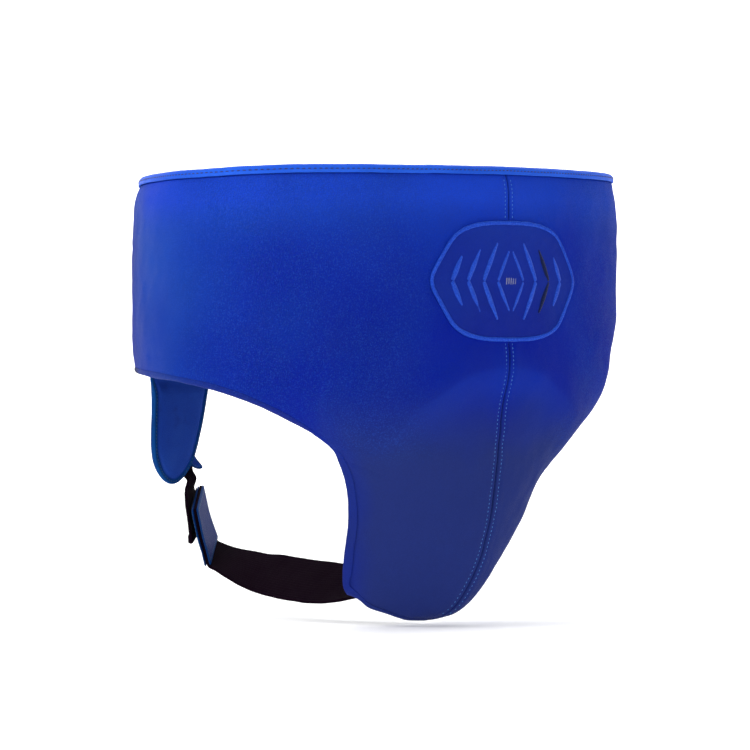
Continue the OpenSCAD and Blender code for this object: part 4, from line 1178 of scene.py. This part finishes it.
# ------------------------------------------------------------------ back flap, a thin pad under the rear opening
def need(u):
    b = 180 - np.abs(u)
    zs = [-13, -18, -26, -40, -70, -100, -134]
    vals = [tab(-z, IT) + lean(b, -z) + np.where(b > WE - 1, EDGE + 0.5, thick(b, np.full_like(b, z))) for z in zs]
    return np.max(vals, axis=0) + 0.7


def flap_d(u):
    return 9.5 + (need(u) - 9.5) * ss(np.abs(u), 12, 21.4)


def pb(u, z, d):
    q = pout(u, np.full(np.broadcast_shapes(np.shape(u), np.shape(z), np.shape(d)), -70.0), d)
    q[..., 2] = z
    return q


FLAP_KEYS = np.array([-36, -33, -30, -27, -24, -21, -17, -12.5, -8, -4, 0, 4, 8, 12.5, 17, 21, 24, 26], float)
FLAP_D = flap_d(FLAP_KEYS)
nu, nz = 150, 120
t = np.linspace(-1, 1, nu)
uu_ = -5 + 31 * (t + 0.25 / np.pi * np.sin(np.pi * t))
t = np.linspace(-1, 1, nz)
zz_ = -78 + 65 * (t + 0.25 / np.pi * np.sin(np.pi * t))
U, Z = np.meshgrid(uu_, zz_, indexing="ij")
su = np.concatenate([[0], np.cumsum(np.linalg.norm(np.diff(pb(uu_, -70.0 + 0 * uu_, 9.5 + 0 * uu_), axis=0), axis=1))])
su = np.interp(U, uu_, su)
rim_d = np.minimum.reduce([su, su.max() - su, Z + 143, -13 - Z])
half = 3.25 * (0.42 + 0.58 * arc(np.maximum(rim_d - 4.6, 0), 12)) * (0.25 + 0.75 * arc(rim_d, 1.6))
half = half - 0.30 * gauss(rim_d, 4.6, 0.9) + 0.08 * wob(su, Z, 30, 91) * arc(rim_d, 10)
mid_d = np.interp(U, FLAP_KEYS, FLAP_D) + 3.25
pts, faces = two_sided(pb(U, Z, mid_d - half), pb(U, Z, mid_d + half))
ob = build("back_flap_pad", pts, faces, M_TAIL, sharp=62, slot="cover_leather")
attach(ob, "shell")
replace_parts(ob, "back_flap_cover", "back_flap_foam")


def flap_stitches():
    c, tt_, up_ = [], [], []
    L = su.max()
    line = np.array([[4.6, -17.6], [L - 4.6, -17.6], [L - 4.6, -138.4], [4.6, -138.4], [4.6, -17.6]], float)
    q, _ = resample(line, 3.0)
    for i in range(len(q) - 1):
        m = (q[i] + q[i + 1]) / 2
        for sgn in (-1, 1):
            def at(p):
                u = np.interp(p[0], su[:, 0], uu_)
                return u, p[1]
            u0, z0 = at(m)
            md = float(np.interp(u0, FLAP_KEYS, FLAP_D)) + 3.25
            hd = 3.25 * 0.42 - 0.28
            p = pb(np.array(u0), np.array(z0), np.array(md + sgn * hd))
            u1, z1 = at(m + unit(q[i + 1] - q[i]) * 0.5)
            p1 = pb(np.array(u1), np.array(z1), np.array(md + sgn * hd))
            k1 = pb(np.array(u0), np.array(z0), np.array(md + sgn * (hd + 1)))
            c.append(p), tt_.append(p1 - p), up_.append(k1 - p)
    return c, tt_, up_


ob = stitches("back_flap_stitches", *flap_stitches(), M_TEAL, length=1.9, radius=0.26)
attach(ob, "shell")


# ------------------------------------------------------------------ rear closure
WEBD, WEBT, CLW = -3.6, 1.6, 42.0


def web_in(u):
    """Depth of the webbing's inner face: it rides higher over the hook and loop."""
    return -1.5 - 2.1 * ss(u, -20, 20)


def web_out(u):
    return web_in(u) - WEBT


def back_sheet(name, u0, u1, z0, w, din, dout, mat, nu=80, nz=40, edge=0.8, along_attr=True, crown=0.0, slot=None, wobble=0.0, seed=0, corner=0.0):
    """A thin strip lying on the back between angles u0 and u1, from height z0 down w, between depths dout (outside) and din."""
    t = np.linspace(-1, 1, nu)
    u = (u0 + u1) / 2 + (u1 - u0) / 2 * (t + 0.22 / np.pi * np.sin(np.pi * t))
    t = np.linspace(-1, 1, nz)
    z = z0 - w / 2 - w / 2 * (t + 0.22 / np.pi * np.sin(np.pi * t))
    U, Z = np.meshgrid(u, z, indexing="ij")
    mu, du = din, dout
    if callable(din):
        mu, du = din(u), dout(u)
        din, dout = din(U), dout(U)
    pm = pout(u, z0 - w / 2 + 0 * u, (mu + du) / 2 + 0 * u)
    s = np.concatenate([[0], np.cumsum(np.linalg.norm(np.diff(pm, axis=0), axis=1))])
    S = np.interp(U, u, s)
    e = np.minimum.reduce([S, s[-1] - S, Z - (z0 - w), z0 - Z])
    th = (din - dout) / 2 * (0.35 + 0.65 * arc(e, edge))
    mid = (din + dout) / 2 - crown * arc(e, 14) + wobble * wob(S, Z, 30, 100 + seed) * arc(e, 6)
    G0, G1 = pout(U, Z, mid - th), pout(U, Z, mid + th)
    pts, faces = two_sided(G0, G1)
    at = {"along": np.tile((S / 1000).ravel(), 2), "across": np.tile(((Z - z0) / 1000).ravel(), 2)} if along_attr else None
    return build(name, pts, faces, mat, sharp=62, attrs=at, slot=slot), (u, s)


def back_stitches(name, lines, mat, body, length=1.9, pitch=2.9, radius=0.24):
    """Rows of stitches on the back: each line is a list of (u, z, depth) corners."""
    c, t, k = [], [], []
    for line in lines:
        L = np.asarray(line, float)
        fine = np.vstack([L[i] + (L[i + 1] - L[i]) * np.linspace(0, 1, 40)[:, None] for i in range(len(L) - 1)])
        Q = pout(fine[:, 0], fine[:, 1], fine[:, 2])
        K = pout(fine[:, 0], fine[:, 1], fine[:, 2] - 1.0)
        q, _ = resample(np.hstack([Q, K]), pitch)
        for i in range(len(q) - 1):
            c.append((q[i, :3] + q[i + 1, :3]) / 2)
            t.append(q[i + 1, :3] - q[i, :3])
            k.append((q[i, 3:] + q[i + 1, 3:]) / 2 - c[-1])
    ob = stitches(name, c, t, k, mat, length=length, radius=radius)
    if body:
        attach(ob, body)
    return ob


def rect(u0, u1, z0, z1, d):
    return [(u0, z0, d), (u1, z0, d), (u1, z1, d), (u0, z1, d), (u0, z0, d)]


ob, _ = back_sheet("anchor_patch", -29.5, -24.2, -16, CLW * 2 + 24, -0.4, -1.35, M_TAB, nu=40, nz=110, edge=1.6, along_attr=False, slot="tab_leather", wobble=0.1, seed=1)
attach(ob, "shell")
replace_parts(ob, "closure_anchor_patch")
back_stitches("anchor_patch_stitches", [rect(-29.05, -24.6, -18.6, -121.4, -1.33)], M_TEAL, "shell")
ob, _ = back_sheet("loop_cloth_panel", 23, 64, -17, CLW * 2 + 22, -0.5, -1.75, M_LOOP, nu=110, nz=110, edge=1.4, along_attr=False, slot="loop_cloth", wobble=0.12, seed=2)
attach(ob, "shell")
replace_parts(ob, "loop_panel")
back_stitches("loop_panel_stitches", [rect(23.9, 63.1, -19.2, -120.8, -1.72)], M_BLACKTHREAD, "shell")

for name, z0 in (("upper", -20.0), ("lower", -78.0)):
    body = name + "_closure_strap"
    ob, _ = back_sheet(name + "_closure_webbing", -28.2, 53, z0, CLW, web_in, web_out, M_TAPE, nu=330, nz=26, edge=0.7, slot="elastic", wobble=0.06, seed=5)
    # points at the webbing's sewn end, not used further; the webbing is baked where it lies
    a_, b_ = pout(-24.4, z0 - CLW / 2, -2.3) / 1000, pout(-19.5, z0 - CLW / 2, -2.3) / 1000
    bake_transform(ob)
    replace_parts(ob, name + "_strap_webbing", name + "_strap_root")
    ob, _ = back_sheet(name + "_closure_hook", 27.5, 52, z0 - 2, CLW - 4, -1.9, -3.4, M_HOOK, nu=60, nz=40, edge=0.6, slot="hook_tape")
    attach(ob, body)
    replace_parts(ob, name + "_strap_hook")
    ob, _ = back_sheet(name + "_closure_tab", 52.4, 61, z0 - 1, CLW - 2, WEBD + 0.4, WEBD - WEBT - 0.4, M_TAB, nu=40, nz=44, edge=1.5, along_attr=False, slot="tab_leather", wobble=0.05, seed=7)
    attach(ob, body)
    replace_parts(ob, name + "_strap_tab")
    back_stitches(name + "_closure_tab_stitches", [rect(53.3, 60.1, z0 - 3.2, z0 - CLW + 3.2, WEBD - WEBT - 0.42)], M_TEAL, body)
    x0, x1, zt, zb = -27.6, -24.7, z0 - 3.0, z0 - CLW + 3.0
    d = -3.12
    back_stitches(name + "_closure_root_stitches", [rect(x0, x1, zt, zb, d), [(x0, zt, d), (x1, zb, d)], [(x0, zb, d), (x1, zt, d)]], M_BLACKTHREAD, "shell")
    back_stitches(name + "_closure_hook_stitches", [rect(28.3, 51.2, z0 - 4.2, z0 - CLW + 4.2, WEBD - WEBT - 0.02)], M_BLACKTHREAD, body)


# ------------------------------------------------------------------ tail: a padded leather tongue with a bound edge
TAIL_Z, TAIL_Y, TAIL_HW, TAIL_L = -144.3, 143.2, 31.0, 72.0  # levels on it are 0 to 72 and are drawn out to its 74 mm
VS = 74.0 / 72.0
TAIL_W = [[0, 1], [12, 0.90], [25, 0.85], [40, 0.78], [52, 0.69], [60, 0.56], [66, 0.40], [70, 0.22], [72, 0.06]]


def tw(v):
    return TAIL_HW * tab(v, TAIL_W)


def tail_mid(v):
    return TAIL_Y - 2 * ss(v, 0, TAIL_L)


def tail_x(v):
    return -10.7 * ss(v, 0, TAIL_L)


def tth(v):
    return 1 + 2.2 * ss(v, 0.8, 10) * (1 - 0.35 * ss(v, 55, 72))


vv = np.linspace(-2.6, 72.0, 900)
half_line = np.stack([tw(np.maximum(vv, 0)), vv], -1)
half_line[:, 0] = np.where(vv > 71.5, half_line[:, 0] * np.clip((72.0 - vv) / 0.5, 0, 1) ** 0.5, half_line[:, 0])
tail_line = np.vstack([half_line * [-1, 1], half_line[::-1][1:]])
for _ in range(14):
    tail_line[1:-1] = tail_line[1:-1] * 0.5 + 0.25 * (tail_line[:-2] + tail_line[2:])


def tail_rim(x, v):
    """Distance in mm from (x, v) on the tail to its outline."""
    q = np.stack([x, v], -1)[..., None, :]
    line = tail_line[::6]
    return np.sqrt(((q - line) ** 2).sum(-1)).min(-1)


nx, nv = 71, 120
t = np.linspace(-1, 1, nx)
xx = t + 0.22 / np.pi * np.sin(np.pi * t)
t = np.linspace(0, 1, nv)
vs = -1.8 + 72.9 * (t - 0.12 / np.pi * np.sin(np.pi * t) + 0.12 * t * 0)
vs = np.clip(-1.8 + 72.9 * (1 - (1 - t) ** 1.35), None, 71.1)
X = xx[None] * np.maximum(tw(np.clip(vs, 0, 72)) - 1.25, 0.4)[:, None]
V = np.repeat(vs[:, None], nx, 1)
rd = tail_rim(X, V)
groove = gauss(rd, 4.5, 0.85)
field = arc(np.maximum(rd - 4.2, 0), 9)
dent = 0.75 * gauss(X, 4 - 0.05 * V, 7) * ss(V, 14, 26) * (1 - ss(V, 36, 60)) + 0.55 * wob(X, V, 30, 121) * field
flute = 0.5 * gauss(X, 1.5, 2.2) * ss(V, 1, 6) * (1 - ss(V, 14, 26)) - 0.35 * gauss(X, 5.5, 2.0) * ss(V, 1, 6) * (1 - ss(V, 12, 24))
base_t = tth(np.clip(V, 0, 72)) * (0.42 + 0.16 * arc(rd, 3))
swell = (0.55 * tth(np.clip(V, 0, 72)) + 0.35) * field
topin = ss(V, -2, 6)
out_t = base_t + (swell - dent - flute) * topin - 0.35 * groove
in_t = base_t + (swell * 0.8 - 0.3 * dent) * topin - 0.35 * groove
ymid = tail_mid(np.clip(V, 0, 72))
XT = X + tail_x(np.clip(V, 0, 72))
G0 = np.stack([XT, ymid + np.maximum(out_t, 0.3), TAIL_Z - V * VS], -1)
G1 = np.stack([XT, ymid - np.maximum(in_t, 0.3), TAIL_Z - V * VS], -1)
pts, faces = two_sided(G0, G1)
trim = np.tile((0.8 * ss(4.2 - rd, 0, 1.2)).ravel(), 2)
tail_pad = build("tail_pad", pts, faces, M_TAIL, sharp=62, slot="cover_leather", attrs={"trim": trim})
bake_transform(tail_pad)
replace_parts(tail_pad, "tail_cover", "tail_core")

# folded edge strip round the tail
q, qs = resample(tail_line, 0.55)
tq = unit(np.gradient(q, axis=0))
nq = np.stack([-tq[:, 1], tq[:, 0]], -1)  # towards the middle of the tail
if (nq[len(nq) // 4] * [1, 0]).sum() < 0:
    nq = -nq
th = np.linspace(0, 2 * np.pi, 20, endpoint=False)
flat = np.sign(np.cos(th)) * np.abs(np.cos(th)) ** 0.75
roll = np.sign(np.sin(th)) * np.abs(np.sin(th)) ** 0.75
wq = 1 + 0.05 * wob(qs, 0 * qs, 16, 131)
tb = (tth(np.clip(q[:, 1], 0, 72)) * 0.60 + 0.42) * wq
cx = (1.55 + flat * 1.6)[None] * wq[:, None]
X2 = q[:, 0][:, None] + nq[:, 0][:, None] * cx
V2 = q[:, 1][:, None] + nq[:, 1][:, None] * cx
Y2 = tail_mid(np.clip(V2, 0, 72)) + roll[None] * tb[:, None] * (1 - 0.16 * gauss(flat, 0.15, 0.35))[None]
R = np.stack([X2 + tail_x(np.clip(V2, 0, 72)), Y2, TAIL_Z - V2 * VS], -1)
ob = build("tail_edge_strip", *tube(R), M_TRIM, sharp=None, slot="rim_leather")
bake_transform(ob)
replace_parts(ob, "tail_binding")

cc, tt, uu = [], [], []
mid_line, _ = resample(np.stack([q[:, 0] + nq[:, 0] * 1.85, q[:, 1] + nq[:, 1] * 1.85], -1)[8:-8], 2.5)
for i in range(1, len(mid_line) - 1):
    x, v = mid_line[i]
    dx, dv = mid_line[i + 1] - mid_line[i - 1]
    tb_ = float(tth(np.clip(v, 0, 72)) * 0.60 + 0.42) * 0.9
    for sgn in (1, -1):
        cc.append([x + float(tail_x(np.clip(v, 0, 72))), float(tail_mid(np.clip(v, 0, 72))) + sgn * tb_, TAIL_Z - v * VS])
        tt.append([dx, 0, -dv])
        uu.append([0, sgn, 0])
ob = stitches("tail_edge_stitches", cc, tt, uu, M_TEALDARK, length=1.5, radius=0.26)
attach(ob, "tail")


# ------------------------------------------------------------------ flat bands: elastics, leather leaves, hook tape
STRAP_W, STRAP_T = 44.0, 2.2
ROOT_ST = [[8, 148.3, -190, 0, 0, 18], [9, 148.3, -196, 0, 0, 18], [10, 148.3, -201.5, 3, 0, 18]]
TAIL_ST = [[10.5, 148.3, -203.6, 5, 0, 17], [12.3, 148, -210, 10, 0, 16], [11.8, 142.3, -215, 26, 2, 20], [6.7, 140, -222, 31.5, 5, 30],
           [4.9, 136.6, -230, 31, 8, 38], [4.8, 134.7, -238, 31.5, 12, 40], [5.1, 133.6, -247, 32, 15, 40], [5.3, 133.2, -255, 32, 16, 40]]
CROTCH_ST = [[5.7, 131.7, -227.3, 36, 21], [6.1, 129.6, -237, 36, 21], [6.8, 127.3, -247, 36, 21.5], [8, 124.2, -257, 35.5, 22],
             [9.1, 121.4, -266.5, 34.5, 23.5], [9.7, 114.5, -269.8, 35, 23.5], [10.5, 101, -274.4, 28.5, 26], [10.5, 84, -278.1, 19, 31],
             [9, 65.4, -280.6, 9, 34.5], [6.9, 46.2, -282.6, 1, 36], [4.3, 26.8, -284.1, -4, 36.5], [1.9, 10.1, -285.1, -6.5, 36], [1, -4, -285.6, -9, 34.5],
             [0.5, -20, -286.2, -4, 27], [0, -36, -286.7, -2, 17], [0, -50, -287.4, -1, 8], [0, -62, -288.2, 0, 2]]


def frames(T, step=1.0):
    """Middle points, directions, width directions, normals and lengths along a station table."""
    dense = spline(T, 40 * len(T))
    s = np.concatenate([[0], np.cumsum(np.linalg.norm(np.diff(dense[:, :3], axis=0), axis=1))])
    n = max(4, int(round(s[-1] / step)) + 1)
    at = np.linspace(0, s[-1], n)
    q = np.stack([np.interp(at, s, dense[:, k]) for k in range(dense.shape[1])], -1)
    c = q[:, :3]
    for _ in range(3):
        c[1:-1] = c[1:-1] * 0.5 + 0.25 * (c[:-2] + c[2:])
    d = unit(np.gradient(c, axis=0))
    yaw, rise = np.radians(q[:, 3]), np.radians(q[:, 4])
    w = np.stack([np.cos(rise) * np.cos(yaw), np.cos(rise) * np.sin(yaw), np.sin(rise)], -1)
    return c, d, w, unit(np.cross(d, w)), at, (q[:, 5] if q.shape[1] > 5 else None)


def leaf(name, T, width, n0, n1, mat, slot, nx=30, corner=(0.8, 0.8), edge=0.7, wobble=0.10, seed=0, trim=None, hem=0.0, cup=0.0, step=0.9, ripple=0.0, pleat=0.0):
    """A thin band along stations T, between offsets n0 and n1 from their surface, with rounded edges and end corners."""
    c, d, wd, N, s, own = frames(T, step)
    t = np.linspace(-1, 1, nx)
    t = t + 0.22 / np.pi * np.sin(np.pi * t)
    L = s[-1]
    W = np.full(len(s), width / 2) if width else own / 2
    W0 = W.copy()
    for r, e in ((corner[0], s), (corner[1], L - s)):
        k = np.clip(e, 0, r)
        W = W - (r - np.sqrt(np.maximum(r * r - (r - k) ** 2, 0)))
    W = W * (1 + 0.006 * wob(s, 0 * s, 20, 140 + seed))
    X = t[None] * W[:, None]
    S = np.repeat(s[:, None], nx, 1)
    e = np.minimum.reduce([S, L - S, W[:, None] - np.abs(X)])
    th = (n1 - n0) / 2 * (0.35 + 0.65 * arc(e, edge))
    th = th + hem * ss(S, L - 7, L - 5.5) * arc(L - S, 1.2)
    mid = (n0 + n1) / 2 + wobble * wob(X, S, 30, 150 + seed) - cup * (X / W.max()) ** 2 - pleat * np.cos(X / W0[:, None] * 4.5 * np.pi) * (1 - ss(W0, 11, 18))[:, None] + ripple * wob(S, 0 * S, 24, 160 + seed)
    base = c[:, None] + wd[:, None] * X[..., None]
    G0, G1 = base + N[:, None] * (mid - th)[..., None], base + N[:, None] * (mid + th)[..., None]
    pts, faces = two_sided(G0, G1)
    at = {"along": np.tile((S / 1000).ravel(), 2), "across": np.tile((X / 1000).ravel(), 2)}
    if trim:
        at["trim"] = np.tile(ss(trim - e, -0.5, 0.5).ravel(), 2)
    ob = build(name, pts, faces, mat, sharp=62, attrs=at, slot=slot)

    def on(x, sv, side):
        """A point on the band's face at x across and sv along, with the along direction and the outward normal."""
        i = np.interp(sv, s, np.arange(len(s)))
        pick = lambda A: np.stack([np.interp(i, np.arange(len(s)), A[:, k]) for k in range(3)], -1)
        n = pick(N) * side
        return pick(c) + pick(wd) * x + n * ((n1 - n0) / 2 + side * (n0 + n1) / 2), pick(d), n, pick(wd)
    return ob, on, L, W


def leaf_stitches(name, on, rows_, mat, body, length=1.9, pitch=2.9, radius=0.24, sides=(1, -1), blendto=None):
    c, t, u = [], [], []
    for row in rows_:
        q, _ = resample(np.asarray(row, float), pitch)
        for a, b in zip(q[:-1], q[1:]):
            m = (a + b) / 2
            for side in sides:
                p, dd, n, ww = on(m[0], m[1], side)
                c.append(p)
                t.append(dd * (b - a)[1] + ww * (b - a)[0])
                u.append(n)
    ob = stitches(name, c, t, u, mat, length=length, radius=radius)
    if blendto:
        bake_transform(ob)
    else:
        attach(ob, body)
    return ob


# the tail's elastic, one piece from its sewn root to its folded end
TS = ROOT_ST + TAIL_ST
ob, on, L, _ = leaf("tail_elastic", TS, None, -STRAP_T / 2, STRAP_T / 2, M_ELASTIC, "elastic", corner=(0.8, 1.6), hem=0.7, cup=0.2, ripple=0.12, pleat=0.35, seed=1, nx=46)
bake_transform(ob)
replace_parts(ob, "tail_strap_root", "tail_strap")
w = 20.0
leaf_stitches("tail_elastic_stitches", on, [[(-w + 2.2, L - 5.2), (w - 2.2, L - 5.2)]], M_BLACKTHREAD, "tail_strap")
leaf_stitches("tail_elastic_root_stitches", on, [[(-7, 2.0), (7, 2.0), (7, 8.0), (-7, 8.0), (-7, 2.0)]], M_BLACKTHREAD, "tail", sides=(-1,))

# the crotch elastic, from inside the cup's lower end to the hook patch
CS = CROTCH_ST + [[0, -70, -289.0, 0, 0], [0, -74, -290.2, 0, 0]]
ob, on, L, _ = leaf("crotch_elastic", CS, STRAP_W, -STRAP_T / 2, STRAP_T / 2, M_ELASTIC, "elastic", corner=(1.0, 1.0), edge=1.1, nx=40, ripple=0.15, wobble=0.14, seed=2)
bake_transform(ob)
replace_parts(ob, "crotch_strap")

# the leather hook patch: a leaf on each face of the elastic, and hook tape on the rear one
PF = STRAP_T / 2 + 0.15
LT5 = CROTCH_ST[:5]
WP = STRAP_W + 3
ob, on, L, _ = leaf("hook_patch_front", LT5, WP, PF, PF + 1.3, M_PATCH, "tab_leather", corner=(3.0, 2.0), edge=0.9, trim=2.3, wobble=0.12, ripple=0.15, seed=3)
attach(ob, "crotch_strap")
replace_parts(ob, "crotch_patch_front")
w = WP / 2 - 2.6
leaf_stitches("hook_patch_front_stitches", on, [[(-w, 2.8), (w, 2.8), (w, L - 2.6), (-w, L - 2.6), (-w, 2.8)]], M_TEAL, "crotch_strap", sides=(1,))
ob, on, L, _ = leaf("hook_patch_rear", LT5, WP, -PF - 1.1, -PF, M_PATCH, "tab_leather", corner=(3.0, 2.0), edge=0.9, trim=2.3, wobble=0.10, ripple=0.12, seed=4)
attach(ob, "crotch_strap")
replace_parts(ob, "crotch_patch_rear")
leaf_stitches("hook_patch_rear_stitches", on, [[(-w, 2.8), (w, 2.8), (w, L - 2.6), (-w, L - 2.6), (-w, 2.8)]], M_TEAL, "crotch_strap", sides=(-1,))
ob, on, L, _ = leaf("hook_patch_tape", CROTCH_ST[:4], STRAP_W - 4, -PF - 1.9, -PF - 1.2, M_HOOK, "hook_tape", corner=(1.2, 1.2), edge=0.5, wobble=0.05, seed=5)
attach(ob, "crotch_strap")
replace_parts(ob, "crotch_strap_hook")

# pull tongue sewn behind the tail, under the elastic's root
KT = [[7, 146.35, -189.4, 0, 0, 12], [10.4, 146.3, -195.4, 0, 0, 12], [14.7, 146.1, -200.9, 0, 0, 12], [18.7, 145, -204.9, 0, 0, 11.2],
      [21.9, 143.7, -208.1, 0, 0, 9.0]]
ob, on, L, W = leaf("tail_tongue", KT, None, -0.7, 0.7, M_TAIL, "tab_leather", corner=(0.8, 4.2), edge=0.7, trim=1.9, wobble=0.05, seed=6, step=0.5, nx=44)
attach(ob, "tail")
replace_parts(ob, "tail_keeper_tab")
sv = np.linspace(1.8, L - 2.6, 16)
wv = np.interp(sv, np.linspace(0, L, len(W)), W) - 1.9
leaf_stitches("tail_tongue_stitches", on, [list(zip(wv, sv)) + list(zip(-wv[::-1], sv[::-1]))], M_TEAL, "tail", length=1.3, pitch=2.1, radius=0.2)

# leather tab inside the cup's lower end that holds the elastic's root
key = np.array([[-64, -288.4, 23], [-69, -288.8, 22], [-73, -290, 18.5], [-76, -292.2, 14]], float)
K = spline(key, 40)
th = np.linspace(0, 2 * np.pi, 48, endpoint=False)
fx = np.sign(np.cos(th)) * np.abs(np.cos(th)) ** 0.30
fz = np.sign(np.sin(th)) * np.abs(np.sin(th)) ** 0.45
endr = np.minimum(np.linspace(0, 1, 40), 1 - np.linspace(0, 1, 40)) * 14
rr = 0.7 + 0.3 * arc(endr, 1.6)
R = np.stack([fx[None] * K[:, 2][:, None] * (0.97 + 0.03 * rr[:, None]), K[:, 0][:, None] + 0 * fx[None],
              K[:, 1][:, None] + fz[None] * (2.2 * rr)[:, None] * (1 - 0.10 * np.cos(fx * 3))[None]], -1)
ob = build("crotch_root_pad", *tube(R), M_TAB, sharp=62, slot="tab_leather")
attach(ob, "shell")
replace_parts(ob, "crotch_root_tab")
cc = [[x, -64.9, -288.45 + sg * 2.12] for x in np.arange(-19.5, 19.6, 2.9) for sg in (1, -1)]
ob = stitches("crotch_root_stitches", cc, [[1, 0, 0]] * len(cc), [[0, 0, c[2] + 288.45] for c in cc], M_TEAL, length=1.9, radius=0.24)
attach(ob, "shell")


# ------------------------------------------------------------------ finishes for the inner CAD solids, which the cover hides
for name, mat in (("belly_foam_outer", M_FOAMD), ("belly_foam_inner", M_FOAM), ("hip_foam_outer_left", M_FOAMD), ("hip_foam_outer_right", M_FOAMD),
                  ("hip_foam_inner_left", M_FOAM), ("hip_foam_inner_right", M_FOAM), ("groin_foam", M_FOAMD), ("hard_cup", M_CUP),
                  ("cup_rim_gasket", M_GASKET), ("cup_liner_pad", M_LINING)):
    node = NODE[name]
    for k in range(len(node.material_slots)):
        node.material_slots[k].material = mat

# ------------------------------------------------------------------ light, floor and backdrop
world = bpy.data.worlds.new("studio")
bpy.context.scene.world = world
world.use_nodes = True
world.node_tree.nodes["Background"].inputs[0].default_value = (0.90, 0.95, 1.0, 1.0)
world.node_tree.nodes["Background"].inputs[1].default_value = 0.10


def area_light(name, at, aim, size, power, colour=(1, 1, 1)):
    data = bpy.data.lights.new(name, "AREA")
    data.shape = "RECTANGLE"
    data.size, data.size_y = size
    data.energy = power
    data.color = colour
    ob = bpy.data.objects.new(name, data)
    bpy.context.scene.collection.objects.link(ob)
    ob.location = at
    ob.rotation_mode = "QUATERNION"
    ob.rotation_quaternion = (Vector(aim) - Vector(at)).to_track_quat("-Z", "Y")
    return ob


UPV = Vector((0, 0, 1))
AIM = Vector((0.0, -0.02, -0.15))
area_light("key", AIM + BACK * 1.3 - RIGHT * 1.7 + UPV * 1.5, AIM, (1.2, 1.2), 40)
area_light("fill", AIM + BACK * 2.2 + RIGHT * 1.5 + UPV * 0.5, AIM, (1.4, 1.8), 26)
area_light("top", AIM + UPV * 2.1 + BACK * 0.2, AIM, (1.8, 1.8), 22)
area_light("back", AIM - BACK * 1.6 + UPV * 1.4, AIM, (1.6, 1.2), 14)


def glow(name, base, light):
    """A white studio surface that also gives a little light of its own."""
    k = Mat(name, Roughness=0.9)
    n = k.noise(2.0, 3.0)
    k.b.inputs["Specular IOR Level"].default_value = 0.1
    k.b.inputs["Emission Color"].default_value = (1, 1, 1, 1)
    k.b.inputs["Emission Strength"].default_value = light
    return k.set(Base_Color=k.mix(n, base, tuple(min(1, x * 1.03) for x in base)))


zf = CAD_BOX[0][2] - 0.0012


def panel(name, corners, shift, mat):
    """A flat slab from four corners, thickened by shift, in metres."""
    g0 = np.array([list(c) for c in corners]) * 1000
    g1 = g0 + np.array(list(shift)) * 1000
    ob = build(name, np.concatenate([g0, g1]), [np.array([[0, 1, 2, 3], [7, 6, 5, 4], [0, 4, 5, 1], [1, 5, 6, 2], [2, 6, 7, 3], [3, 7, 4, 0]])], mat)
    return ob


F0 = Vector((0, 0, zf))
panel("floor", [F0 - RIGHT * 7 + BACK * 7, F0 + RIGHT * 7 + BACK * 7, F0 + RIGHT * 7 - BACK * 3.2, F0 - RIGHT * 7 - BACK * 3.2], (0, 0, -0.02),
      glow("studio_floor", (0.88, 0.88, 0.88), 0.35))
W0 = F0 - BACK * 3.2
panel("backdrop", [W0 - RIGHT * 7, W0 + RIGHT * 7, W0 + RIGHT * 7 + UPV * 5, W0 - RIGHT * 7 + UPV * 5], -BACK * 0.02,
      glow("studio_backdrop", (0.88, 0.88, 0.88), 0.95))

scene = bpy.context.scene
scene.view_settings.view_transform = "Standard"
scene.view_settings.look = "None"
scene.view_settings.exposure = 0.0
scene.view_settings.gamma = 1.0
